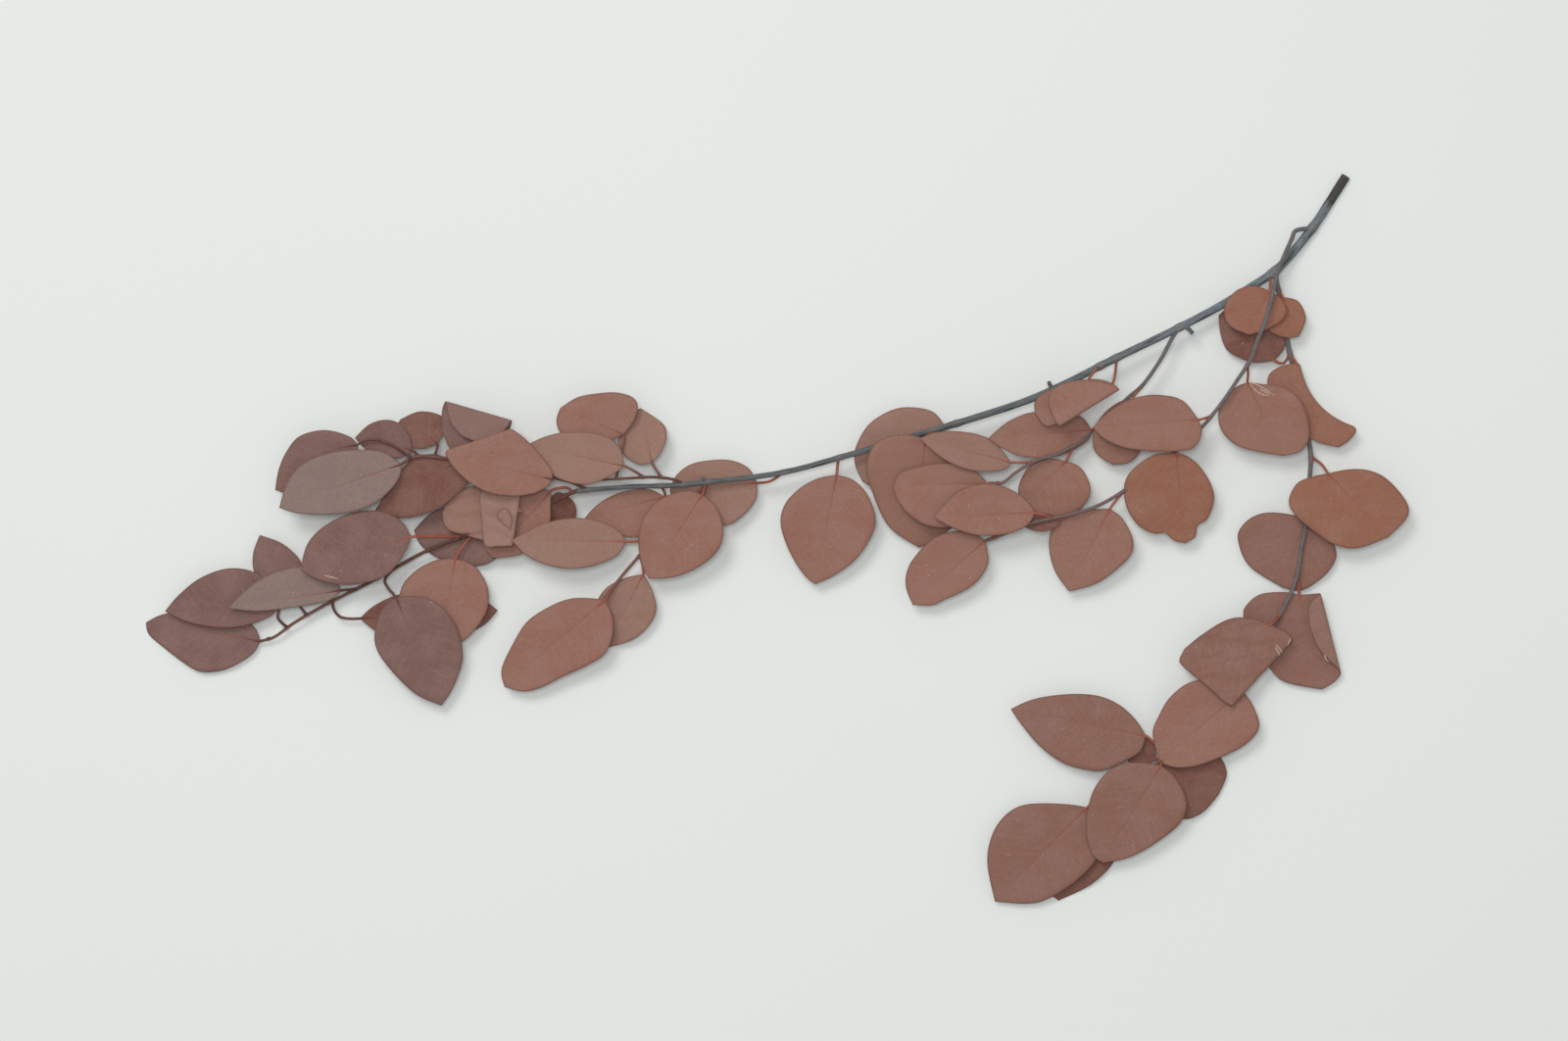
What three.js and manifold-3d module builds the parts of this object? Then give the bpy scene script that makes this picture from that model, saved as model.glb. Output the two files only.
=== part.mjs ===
// A cut and dried eucalyptus branch with round leaves, lying on its side. Millimetres, +Z up.
// Seen from above, x is to the right and y up; z is the height over the surface that it lies on.
import * as THREE from "three";
import Module from "manifold-3d";

const wasm = await Module();
wasm.setup();

// Driving dimensions
const BLADE_THICKNESS = 0.8;
const SIDE_STEPS = 10;
const OUTLINE_STEPS = 24;
const FOLD_ROWS = 5;
const FOLD_COLUMNS = 3;
const CUP = 1.0;
const RIPPLE = 0.7;
const RIPPLE_TURNS = 1.4;
const RIPPLE_LEAN = 2;
const GOLDEN_STEP = 0.618;
const FOLD_RADIUS = 1.5;
const FOLD_ANGLE = 3.05;
const STALK_RADIUS = 0.75;
const STALK_END_RADIUS = 0.35;
const STALK_SIDES = 5;
const STALK_STEP = 10;
const STALK_INTO_BLADE = 0.14;
const STEM_SIDES = 8;
const TWIG_SIDES = 6;
const TWIG_STEP = 15;
const STEM_RADIUS_CUT = 2.3;
const STEM_RADIUS_END = 1.15;
const STUB_RADIUS = 1.2;
const STUB_STEP = 3;
const STEM_GAP = 0.35;
const SLIVER = 0.02;
const UP = new THREE.Vector3(0, 0, 1);

// Finishes
const BARK = { color: 0x585a5e, roughness: 0.85, metalness: 0 };
const DRY_LEAF = { color: 0x966c60, roughness: 0.8, metalness: 0 };
const MAUVE_LEAF = { color: 0x82605c, roughness: 0.8, metalness: 0 };

// The main stem, from its cut end to the fork at the far end, and the stubs of lost side twigs
const STEM_ROUTE = [
  [291.5, 185, 1.7], [283, 171.5, 1.7], [276, 161, 2.4], [264, 146, 4.6], [255, 136.5, 6.6],
  [243, 128.5, 8.2], [226, 118.2, 10], [206, 107.6, 12], [168, 89.2, 14], [150, 80, 14.6],
  [130, 71, 15.2], [100, 61, 15.5], [70, 52, 15], [40, 43.3, 14.6], [5, 34, 14.6], [-20, 30.5, 15],
  [-50, 27.5, 15.6], [-75, 26.5, 16.2], [-100, 24.5, 17],
];
const STEM_STUBS = [
  [[207, 108.6, 12], [210, 107, 12.6], [212.5, 104.5, 13.4]],
  [[141, 76, 15], [140, 78, 15.6], [139.2, 79.8, 16.4]],
  [[-34, 28.8, 15.4], [-35, 29.8, 16], [-36.5, 31, 17]],
];

// Leafy shoots: the routes of the twigs and the leaves on them. A leaf's rim starts at its base and
// runs once round the flat blade, tip is the number of the rim point at its tip, heights are those of
// base and tip, and its stalk starts on the twig. cup and roll curve the blade across, and a fold turns
// the part left of its line over (1) or under (-1) the rest; sag bows the fold line to its left.
const SHOOTS = {
  right_shoot: {
    finish: DRY_LEAF,
    radius: [1.3, 0.8],
    twig: [
      [255, 136.5, 6.6], [255.5, 131, 7.2], [258, 121, 7], [262, 97, 6], [264, 88, 6], [268, 70, 5.5],
      [271.5, 53, 7], [273, 42, 8], [272.5, 33, 8], [270, 5, 8], [268.5, -2, 8], [266, -18, 8],
      [263, -27, 8], [259, -35, 8], [254, -44, 8], [243, -60, 7.5], [228, -78, 7], [212, -97, 7],
      [197, -112, 7], [178, -125, 6.5], [160, -136, 6],
    ],
    leaves: [
      {
        heights: [9.8, 10.2], tip: 4,
        stalk: [[257, 126, 7.1]],
        rim: [
          [258.5, 123], [266, 121], [270, 113.5], [269, 108], [266.5, 103], [260, 102.5], [251.5, 106],
          [249, 115], [252.5, 121],
        ],
      },
      {
        heights: [6, 5], tip: 5,
        stalk: [[262.6, 94, 6], [259, 89.5]],
        rim: [
          [254.5, 91], [245, 90], [236.5, 92.5], [230, 97], [227, 106], [226.5, 114], [232, 117],
          [245, 112], [257, 106.5], [260, 98.5],
        ],
      },
      {
        heights: [9, 8.5], tip: 7,
        stalk: [[262.8, 94, 6]],
        fold: { from: [266.4, 87.5], to: [293.8, 56.3], over: -1, sag: -6 },
        rim: [
          [265.5, 89.5], [258, 88], [252, 84], [251, 78], [255, 68], [264, 57], [275, 50], [287, 46.8],
          [292.5, 50.5], [296, 56], [292.5, 62], [284, 71.5], [276, 80], [270, 88.5],
        ],
      },
      {
        heights: [15, 14], tip: 8,
        stalk: [[273, 42, 8], [278, 38]],
        rim: [
          [281, 33.3], [273, 31.7], [265, 28], [261, 19.5], [264, 12.5], [273.5, 4.5], [284, -2.5],
          [296, -4.5], [311.5, 1], [320, 9.5], [322, 15.5], [318, 23], [310, 31], [301, 35],
          [291, 35.3],
        ],
      },
      {
        heights: [6, 3], tip: 6,
        stalk: [[271, 20, 8]],
        rim: [
          [271, 11], [255, 13.5], [245, 12], [238, 6.5], [236.3, -0.5], [242, -13.5], [259, -24.5],
          [268.5, -26], [278.5, -20], [284.5, -13], [286, -6], [281, 4],
        ],
      },
      {
        heights: [5, 4], tip: 8,
        stalk: [[266.3, -18, 8]],
        fold: { from: [276.5, -28], to: [287.3, -70], over: 1 },
        rim: [
          [267.5, -28.5], [260, -27], [248, -28], [241, -33], [238.5, -39.5], [243.5, -52], [252, -65],
          [260, -72.5], [279, -76.5], [286.5, -71.5], [290.5, -64], [294, -50], [291, -35], [284, -28],
        ],
      },
      {
        heights: [13, 14], tip: 6,
        stalk: [[257, -39, 8]],
        fold: { from: [262.5, -50], to: [231.5, -83.5], over: -1 },
        rim: [
          [252, -43.5], [245, -41], [235, -39.7], [226.5, -42.5], [215, -50], [207.5, -56.5],
          [205.5, -62], [209, -66], [218, -73], [231, -84], [244, -84.5], [257, -75], [265, -61],
          [262.5, -49.5],
        ],
      },
      {
        heights: [10, 9], tip: 6,
        stalk: [[236, -69, 7.2]],
        rim: [
          [238, -77], [226, -71.5], [212, -72.5], [201.5, -80], [195.5, -90], [192.5, -99],
          [196, -113.5], [204, -116], [215, -115], [228.5, -110], [238.5, -105], [245, -98.5],
          [246.3, -93], [243, -84],
        ],
      },
      {
        heights: [8.5, 6], tip: 6,
        stalk: [[199, -110, 7]],
        rim: [
          [189, -100], [183.5, -91.5], [175, -84], [163.5, -79.5], [148, -79], [132, -81.5],
          [120.5, -86.5], [126.5, -95], [135, -105], [146.5, -113.5], [158, -117], [167, -117.5],
          [177, -113.5], [186, -108],
        ],
      },
      {
        heights: [5, 3], tip: 4,
        stalk: [[195, -113, 7]],
        rim: [
          [197, -114], [211, -109.5], [225, -109.5], [230.5, -119], [226.5, -130], [219, -138.5],
          [210, -142.5], [203, -140], [197, -128],
        ],
      },
      {
        heights: [12, 9], tip: 6,
        stalk: [[197, -112, 7]],
        rim: [
          [196.3, -115], [203.5, -121], [209, -132], [207.5, -142], [198.5, -151], [182, -161],
          [167, -164.5], [162, -160.5], [159, -152], [159, -140], [162, -128], [168.5, -119],
          [177, -114], [187, -113.5],
        ],
      },
      {
        heights: [7, 4], tip: 7,
        stalk: [[164, -133.5, 6]],
        rim: [
          [159.2, -136.5], [150, -135], [134, -134.5], [123.5, -136.5], [115, -143.5], [110, -153.5],
          [108.7, -166], [112.5, -184.5], [127, -185.5], [137, -184], [150, -176.5], [161.5, -166],
          [165, -158], [164, -148],
        ],
      },
      {
        heights: [4.2, 0.4], tip: 4,
        stalk: [[168, -131, 6.2]],
        rim: [
          [161, -138], [171.5, -151.5], [173.5, -163], [162, -175.5], [145, -184.3], [136, -175],
          [136.5, -156], [147, -142],
        ],
      },
      {
        heights: [4.5, 3.5], tip: 4,
        stalk: [[197, -112, 7]],
        rim: [
          [194.5, -112], [193, -103.5], [188, -100.5], [181, -103], [176.5, -108], [181, -113.5],
          [189, -115],
        ],
      },
    ],
  },
  middle_shoot: {
    finish: DRY_LEAF,
    radius: [1.1, 0.8],
    twig: [
      [274, 158.3, 3], [268.5, 157.8, 5.2], [264.9, 156.6, 6.6], [263.6, 153.5, 8], [261.5, 149, 9.8],
      [258, 141.5, 12.5], [255.5, 136, 14], [254, 130, 16], [251, 118, 19], [248, 108.5, 21],
      [245, 102, 22], [241, 91, 22], [234, 80, 22], [228, 71, 21.5], [220, 60.5, 19.6],
      [217, 57, 17.3], [205, 46, 14.5], [197, 40, 12],
      [191, 35, 11.3], [184, 29.5, 12], [177.5, 24.5, 14], [163, 16.5, 17], [150, 12.5, 18],
      [140, 10.5, 18], [130, 8, 17], [120, 4, 15.5], [107, -1, 13.5],
    ],
    leaves: [
      {
        heights: [17, 14], tip: 7,
        stalk: [[239.5, 88, 22], [240, 83]],
        rim: [
          [240, 79.5], [234, 77], [227.5, 71], [225, 62.5], [227.5, 54], [235, 47.5], [245, 44.5],
          [258.5, 42.3], [267.5, 45], [271.5, 52], [270, 63.5], [265, 72.5], [257, 77.5], [248, 78.5],
        ],
      },
      {
        heights: [19.5, 19.5], tip: 6,
        stalk: [[221, 62, 20]],
        rim: [
          [215, 60.5], [207, 70], [197, 72.8], [187, 72.5], [176.5, 69], [167, 62.5], [161.5, 56.5],
          [167, 51], [177, 46.5], [190, 44.8], [203, 44.5], [212.5, 46.5], [216.5, 54],
        ],
      },
      {
        heights: [16, 10], tip: 10,
        stalk: [[208, 48.8, 15.3]],
        rim: [
          [204, 43.8], [193.5, 43], [185, 38], [179, 31.5], [177.5, 24], [179.5, 15], [185, 7],
          [193, 3], [198.5, 3.3], [203, -0.5], [209, -2], [214, 1.5], [215, 7], [220, 10.5],
          [223.3, 20], [221.5, 28], [216.5, 36], [210.5, 41.5],
        ],
      },
      {
        heights: [14, 9], tip: 6,
        stalk: [[177.5, 24.5, 14], [173, 19]],
        rim: [
          [170.5, 15.5], [177, 10], [182, 0], [181, -8], [173.5, -15.5], [163.5, -22.5], [150, -26.5],
          [143.5, -17.5], [140.3, -8.5], [140, 1.5], [143.5, 10], [150, 14], [160, 15],
        ],
      },
      {
        heights: [19.5, 20], tip: 6,
        stalk: [[141, 10.8, 18]],
        rim: [
          [132, 13.3], [128, 19.5], [120, 25], [110, 28], [100, 27], [91, 22.5], [80.7, 11.2],
          [87, 7.5], [97, 3.5], [107, 1.8], [120, 3.3], [128.5, 7.5],
        ],
      },
      {
        heights: [15.5, 13.5], tip: 3,
        stalk: [[151, 12.7, 18]],
        rim: [
          [146, 10.5], [138, 13], [129, 11.5], [124.5, 8], [130, 5], [137, 4], [143.5, 6.5],
        ],
      },
      {
        heights: [13.2, 9], tip: 7,
        stalk: [[112, 1, 14.4]],
        rim: [
          [107, -0.8], [102, 2.5], [92, 4], [82, 1], [73.5, -6.5], [68, -15], [67, -24], [70.5, -33.3],
          [80, -33.5], [87, -30.5], [98.5, -25], [105, -19], [108.7, -11],
        ],
      },
    ],
  },
  inner_shoot: {
    finish: DRY_LEAF,
    radius: [1, 0.75],
    twig: [
      [206, 108, 12], [202, 102, 12.6], [195.5, 90, 13], [186, 77, 12], [181, 73, 10.5],
      [172, 64.5, 9], [165, 58, 9.5], [159, 52.5, 13], [155, 49, 15.5], [149, 46, 17], [143, 43, 18],
      [135, 40.8, 18.5], [130, 38.5, 18.3], [122, 33.5, 17.3], [115.5, 28.5, 16.7], [109, 28.5, 16.5],
    ],
    leaves: [
      {
        heights: [13.5, 9.5], tip: 5,
        stalk: [[186, 77, 12]],
        rim: [
          [182, 71.5], [174, 69], [166, 62], [162, 53], [163.5, 44], [172, 38], [180, 39], [186, 45],
          [188, 56], [186.5, 66],
        ],
      },
      {
        heights: [12, 21], tip: 6,
        stalk: [[166, 59, 9.3]],
        rim: [
          [161, 55.5], [156, 62], [145, 65], [133.5, 64.5], [126, 63], [117, 58.5], [108.3, 51],
          [115, 46.3], [123.5, 42.5], [133.5, 41.2], [145, 42.5], [154, 46.5], [160, 51],
        ],
      },
      {
        heights: [15, 8.5], tip: 5, cup: 0.4,
        stalk: [[152, 47.6, 16.3]],
        rim: [
          [148, 39.5], [140, 40.8], [131.5, 38.3], [126.5, 32.5], [124.2, 25], [126, 16.5],
          [134, 11.3], [144, 11], [153, 13.5], [159, 20], [160.3, 26.5], [157.5, 33.5], [153.5, 37.5],
        ],
      },
      {
        heights: [17, 23], tip: 5,
        stalk: [[130.5, 38.8, 18.3]],
        rim: [
          [120, 39], [112, 49], [103, 53], [93, 54.5], [82, 54], [73.7, 51], [80, 45], [88.5, 39],
          [98.5, 35.3], [108.5, 34.2], [117.5, 35.8],
        ],
      },
      {
        heights: [16.5, 16.5], tip: 5, cup: 0.3, roll: -1.5,
        stalk: [[114, 28.4, 16.6]],
        rim: [
          [108.3, 28.3], [100, 36], [88, 38.5], [75, 37], [64, 33.5], [60.3, 27], [62.5, 20],
          [68.5, 12.5], [78, 7], [90, 6.5], [100, 12], [107, 20],
        ],
      },
    ],
  },
  lower_shoot: {
    finish: DRY_LEAF,
    radius: [1, 0.75],
    twig: [
      [-34, 29, 15.2], [-36, 26, 14], [-40, 22, 12.5], [-52, 9, 11.2], [-62, -1, 11], [-69, -9, 11],
      [-78, -19.5, 11.5], [-86, -30, 12.5],
    ],
    leaves: [
      {
        heights: [17.5, 15], tip: 7,
        stalk: [[-35, 27, 14.6]],
        rim: [
          [-36.5, 22.5], [-30, 17], [-26, 7], [-26.7, -2], [-32, -9.5], [-42, -16], [-52, -19.3],
          [-63.5, -20], [-67.5, -11.5], [-68.7, 0], [-66.5, 10], [-60, 18.5], [-51.5, 23], [-43, 24.5],
        ],
      },
      {
        heights: [13, 19], tip: 6,
        stalk: [[-61, 0, 11], [-68, -1]],
        rim: [
          [-75.3, -1.2], [-78.5, 4], [-86.5, 8.3], [-96.5, 10.5], [-108.5, 10], [-120, 6.5],
          [-133, -0.5], [-125, -8.5], [-115, -13], [-103.5, -15], [-91.5, -13.3], [-80, -8.3],
        ],
      },
      {
        heights: [10, 4], tip: 5,
        stalk: [[-68, -8, 11]],
        rim: [
          [-66.5, -17.8], [-62.5, -25], [-60, -35], [-63.5, -43.5], [-72, -51], [-85.5, -55.3],
          [-90, -46], [-91, -35], [-86, -25.5], [-76.5, -20],
        ],
      },
      {
        heights: [12.6, 9], tip: 7,
        stalk: [[-83, -26, 12.2]],
        rim: [
          [-86, -31], [-93.5, -30], [-103.5, -30.3], [-113.5, -34], [-125, -41.5], [-132, -52],
          [-138.5, -66], [-137, -75], [-128, -77.3], [-119, -75.5], [-108, -70], [-95, -64],
          [-86, -58], [-82, -48], [-82.5, -38],
        ],
      },
    ],
  },
  upper_shoot: {
    finish: DRY_LEAF,
    radius: [0.8, 0.6],
    twig: [
      [-46, 28, 15.5], [-50, 30, 17.2], [-60, 31.4, 18.2], [-72, 31, 18.4], [-83, 30.4, 18],
      [-94, 29.8, 18],
    ],
    leaves: [
      {
        heights: [20.5, 18.5], tip: 6,
        stalk: [[-66, 31.2, 18.4], [-70, 34]],
        rim: [
          [-75.8, 37], [-78, 46], [-84, 51.5], [-95, 54], [-107, 54], [-117, 51.5], [-126, 47.2],
          [-117, 36], [-107, 30], [-95, 27.8], [-84, 31.5],
        ],
      },
      {
        heights: [15, 14], tip: 5,
        stalk: [[-80, 30.6, 18], [-78, 42]],
        rim: [
          [-76.5, 53], [-91, 48], [-103, 49.5], [-109, 55], [-110.3, 61], [-108.5, 66.5], [-100, 71.8],
          [-90, 73.8], [-80, 74.3], [-72, 72], [-69.2, 67.5], [-71, 60.5],
        ],
      },
      {
        heights: [13.5, 9], tip: 4,
        stalk: [[-57, 31, 18]],
        rim: [
          [-62, 38.8], [-57.5, 44], [-54.8, 51.5], [-56.5, 58.5], [-68, 66.5], [-75, 62], [-79, 50],
          [-76, 42.5], [-68.5, 38],
        ],
      },
    ],
  },
  left_upper_shoot: {
    finish: MAUVE_LEAF,
    radius: [1, 0.8],
    twig: [
      [-95, 25, 16.8], [-100, 28, 17.6], [-104, 29.4, 17], [-110, 31, 16.2], [-125, 35, 16],
      [-145, 39, 16.5], [-166, 41, 17], [-175, 42, 17], [-183, 41.5, 17], [-189, 38, 18],
    ],
    leaves: [
      {
        heights: [22, 27], tip: 7,
        stalk: [[-114, 32.1, 16.1]],
        fold: { from: [-166, 43], to: [-132, 54.5], over: -1 },
        rim: [
          [-112.3, 30.3], [-115, 26.5], [-122, 23], [-132, 22], [-143.5, 23.5], [-153.5, 28.5],
          [-161.5, 36], [-166, 43], [-163, 51], [-152, 57], [-140, 59.5], [-131.5, 55], [-124, 49],
          [-116, 40], [-112.3, 34.3],
        ],
      },
      {
        heights: [16.5, 16], tip: 6,
        stalk: [[-152, 39.8, 16.7]],
        fold: { from: [-168, 68.7], to: [-135.5, 59.3], over: 1 },
        rim: [
          [-155.5, 37], [-162, 42], [-167, 52], [-168.5, 62], [-166.5, 70], [-158, 79], [-148, 82],
          [-140, 79.5], [-135, 73.5], [-132.5, 66], [-134, 56], [-140, 46], [-148, 39],
        ],
      },
      {
        heights: [15.5, 11], tip: 5,
        stalk: [[-156, 40.2, 16.8]],
        rim: [
          [-161.5, 39], [-172, 43], [-183, 41], [-191.5, 32.5], [-198, 22], [-203, 14], [-193, 11.2],
          [-183, 11.3], [-170, 16], [-161.5, 22.5], [-156, 28], [-156.5, 34.5],
        ],
      },
      {
        heights: [13, 9.5], tip: 4,
        stalk: [[-172, 41.8, 17]],
        rim: [
          [-171, 48.5], [-167, 56], [-169, 62.5], [-180, 64.8], [-190, 60.8], [-193, 54], [-188, 48],
          [-179, 46],
        ],
      },
      {
        heights: [13, 10], tip: 5,
        stalk: [[-180, 41.8, 17]],
        rim: [
          [-183.7, 45], [-185.5, 53], [-191, 59], [-198, 60.5], [-206, 58], [-213, 51.5], [-207, 45.5],
          [-196, 41.5], [-188, 42],
        ],
      },
      {
        heights: [13.5, 10], tip: 7,
        stalk: [[-184, 41.3, 17], [-190, 45.5], [-195, 48.5], [-201, 50.5], [-208, 50]],
        rim: [
          [-211.5, 48], [-215, 51.7], [-223.5, 54.7], [-232, 55], [-242, 51.5], [-248.5, 43],
          [-252, 34], [-253.5, 25], [-243, 22], [-230, 22.5], [-217, 30], [-211, 40],
        ],
      },
      {
        heights: [18, 19.5], tip: 6,
        stalk: [[-184, 41.2, 17.2]],
        rim: [
          [-189, 38], [-198, 44], [-210, 45.3], [-223.5, 44], [-237, 39], [-246, 30], [-250.5, 16],
          [-242, 13.3], [-227, 12.5], [-213.5, 14], [-202, 18.5], [-193.5, 26], [-189.5, 32.5],
        ],
      },
    ],
  },
  left_lower_shoot: {
    finish: MAUVE_LEAF,
    radius: [1, 0.7],
    twig: [
      [-100, 24.5, 17], [-105, 22.5, 14.5], [-110, 20, 12], [-116, 17.5, 10.5], [-130, 12, 9.5],
      [-150, 4, 8.5], [-165, -1, 8], [-178, -6.5, 8], [-190, -13, 8], [-200, -19, 7.5],
      [-215, -26.5, 7], [-225, -31.5, 7], [-235, -37, 6.5], [-245, -43, 6], [-255, -50, 5],
      [-262, -52, 4],
    ],
    leaves: [
      {
        heights: [13.5, 10], tip: 5,
        stalk: [[-102, 23.8, 16], [-105, 26], [-109, 26]],
        rim: [
          [-113.3, 24.5], [-113.5, 17], [-114, 8], [-119, -2], [-130, -8], [-143, -9.5], [-148, -2],
          [-146, 10], [-138, 20], [-126, 26],
        ],
      },
      {
        heights: [10.5, 19], tip: 10,
        stalk: [[-160, 0.6, 8.1]],
        fold: { from: [-130, 24], to: [-133.5, 0], over: 1 },
        rim: [
          [-158, 2.5], [-165.8, 5], [-168.7, 12.5], [-165.5, 20], [-157, 26], [-147, 27], [-137, 26.5],
          [-128, 24.5], [-118, 23.5], [-107.5, 18], [-111.3, 5.6], [-117, -7.2], [-123.5, -6],
          [-133, -3], [-146, -1],
        ],
      },
      {
        heights: [9, 4], tip: 4,
        stalk: [[-106, 22, 14]],
        rim: [
          [-106, 23], [-101.5, 18], [-101, 12], [-104, 8], [-110, 6], [-115, 10], [-115, 18],
          [-111, 23.5],
        ],
      },
      {
        heights: [5.5, 3], tip: 4,
        stalk: [[-141, 7.6, 8.9]],
        rim: [
          [-143, 6], [-150, 16], [-163, 17.5], [-175, 13], [-183.5, 4.5], [-180, -3], [-170, -10],
          [-156, -13.5], [-145, -12], [-139, -5],
        ],
      },
      {
        heights: [10, 8], tip: 6,
        stalk: [[-152, 3.3, 8.4], [-157, -2]],
        rim: [
          [-162, -10], [-172, -10.8], [-182, -16], [-189, -24], [-190, -34], [-184, -45], [-170, -55],
          [-162, -54], [-153, -47], [-146.5, -37], [-145.2, -28], [-147.5, -20], [-153.5, -13],
        ],
      },
      {
        heights: [13, 9], tip: 6,
        stalk: [[-195, -16, 7.8], [-198, -21], [-196, -25]],
        rim: [
          [-192, -29.6], [-198.5, -35], [-202, -43.5], [-202.5, -53.5], [-197, -63.5], [-183, -78],
          [-169.3, -84.5], [-165, -78.5], [-161, -70], [-158.3, -60], [-160, -48.5], [-165, -38.5],
          [-174, -31], [-183.5, -29],
        ],
      },
      {
        heights: [5, 3], tip: 5,
        stalk: [[-225, -31.5, 7], [-224, -36], [-221, -39.5], [-216, -40.5]],
        rim: [
          [-211, -40.4], [-203, -33.5], [-190, -28], [-170, -26], [-152, -29], [-141, -36.2],
          [-150, -45], [-170, -52], [-190, -52], [-203, -46.5],
        ],
      },
      {
        heights: [15.5, 17], tip: 7,
        stalk: [[-158, 1.4, 8.2], [-168, 1.4], [-175, 1.5]],
        rim: [
          [-184, 1.2], [-188.5, 8.5], [-196.5, 13.3], [-207, 14.5], [-218.5, 11.7], [-230, 5],
          [-237, -3.5], [-240, -15.8], [-230, -20.8], [-219, -23], [-207, -22], [-197, -18.5],
          [-191.5, -13], [-186.5, -5],
        ],
      },
      {
        heights: [10, 12], tip: 5,
        stalk: [[-213, -25.5, 7]],
        rim: [
          [-220, -26], [-226, -31], [-237, -33.5], [-252, -35.5], [-264, -36.5], [-277.5, -35],
          [-268.5, -26], [-258.5, -19], [-247, -15], [-236, -14], [-226, -17],
        ],
      },
      {
        heights: [7, 4.5], tip: 5,
        stalk: [[-238, -38.6, 6.4]],
        rim: [
          [-245.5, -28.5], [-240, -18.5], [-241, -11.5], [-245, -6.5], [-252, -1.5], [-262, 2],
          [-265, -6.5], [-265, -15], [-261.5, -22.5], [-253.5, -28.3],
        ],
      },
      {
        heights: [8.5, 6], tip: 6,
        stalk: [[-248, -45, 5.8], [-252.5, -40]],
        rim: [
          [-252, -35], [-257, -39.5], [-268.5, -43.7], [-280, -45], [-292, -43.7], [-302, -40.7],
          [-310, -36.7], [-303.5, -29], [-293.5, -20.8], [-282, -15.8], [-272, -15], [-262, -18],
          [-254, -26],
        ],
      },
      {
        heights: [4, 0.4], tip: 8,
        stalk: [[-257, -50.6, 4.6]],
        rim: [
          [-262, -52], [-265.5, -58], [-273.5, -63.5], [-282, -67], [-292, -67.5], [-300, -63.5],
          [-311.5, -55], [-319, -48.5], [-320.4, -42.5], [-312, -38.5], [-298, -36], [-282, -36.5],
          [-270, -41], [-264, -46],
        ],
      },
    ],
  },
};

// Leaves that grow straight from the main stem
const STEM_LEAVES = [
  {
    heights: [12.5, 14], tip: 5,
    stalk: [[253, 135, 7]],
    rim: [
      [251.5, 126], [243.5, 128.5], [234.5, 126], [228.5, 117.5], [231, 108.5], [241, 103.7],
      [250, 106.5], [258, 111.5], [260, 117], [257, 122.5],
    ],
  },
  {
    heights: [27, 30], tip: 7,
    stalk: [[165, 88, 14.2]],
    fold: { from: [173.5, 76.8], to: [143.3, 58.3], over: -1 },
    rim: [
      [159, 80.8], [148, 79.4], [141, 76], [138.6, 70.5], [140, 64], [143, 58], [150, 52], [163, 50],
      [173, 58], [176.5, 69], [173, 77], [167, 79],
    ],
  },
  {
    heights: [21, 20.5], tip: 5,
    stalk: [[174, 92.4, 13.8], [172, 80]],
    rim: [
      [168, 72], [158, 76], [146, 76], [137, 74.5], [132, 69.5], [132.3, 63.5], [137, 57.5],
      [143, 58.5], [152, 64], [161, 69.3],
    ],
  },
  {
    heights: [9.5, 6], tip: 7,
    stalk: [[93, 58.6, 15.5]],
    rim: [
      [87, 57.5], [80, 65], [67, 67], [57, 64.3], [47.5, 57.5], [41.5, 46.5], [41.3, 38], [45, 29.5],
      [52, 27], [64, 32], [78, 44],
    ],
  },
  {
    heights: [19, 4], tip: 7, cup: 0, roll: -1.5,
    stalk: [[81, 55.2, 15.2]],
    rim: [
      [76.5, 51], [66, 53], [57, 51.5], [50, 47], [47, 38], [48.5, 28], [58, 7], [74, -4.2], [84, 1],
      [96, 12], [102, 26], [97, 39.5], [87, 47],
    ],
  },
  {
    heights: [15, 9], tip: 8,
    stalk: [[32.5, 41, 14.6]],
    rim: [
      [31.7, 32.6], [23, 31], [14, 26.5], [6, 18.5], [3.3, 9], [6, -2], [11, -12], [16.5, -19.5],
      [21, -22.7], [31, -18], [42, -9.5], [50, 3], [51.2, 12], [47, 23], [40, 30],
    ],
  },
  {
    heights: [9.5, 8], tip: 6,
    stalk: [[5, 34, 14.6], [-2, 29.5]],
    rim: [
      [-8.8, 28.5], [-13, 36], [-22, 40], [-33, 40], [-43, 37.7], [-50, 32], [-53, 25], [-50, 16],
      [-39, 8.5], [-25, 7], [-16.5, 11.5], [-9.5, 20],
    ],
  },
  {
    heights: [11, 8], tip: 5,
    stalk: [[-57, 27.4, 15.8]],
    rim: [
      [-55.5, 21.5], [-63.5, 25.3], [-73.5, 24.8], [-83.5, 21.5], [-91.5, 16], [-97, 9.8], [-90, 6],
      [-80, 2.5], [-70, 1], [-60, 5], [-54.5, 13],
    ],
  },
];

// A leaf in plan: its rim points, the way it points, the way its left side lies, its length and half width.
function planOf(leaf) {
  const rim = leaf.rim.map((point) => new THREE.Vector2(...point));
  const base = rim[0];
  const along = rim[leaf.tip].clone().sub(base);
  const length = along.length();
  along.divideScalar(length);
  const left = new THREE.Vector2(-along.y, along.x);
  const half = Math.max(...rim.map((point) => Math.abs(point.clone().sub(base).dot(left))));
  return { rim, base, along, left, length, half };
}

// The flat blade's outline, counterclockwise: a smooth curve along each side, with corners at base and tip.
function outlineOf(leaf, plan, steps) {
  const sides = [plan.rim.slice(0, leaf.tip + 1), [...plan.rim.slice(leaf.tip), plan.base]];
  const outline = sides.flatMap((side) => new THREE.SplineCurve(side).getSpacedPoints(steps).slice(0, -1));
  return THREE.ShapeUtils.area(outline) < 0 ? outline.reverse() : outline;
}

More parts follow.
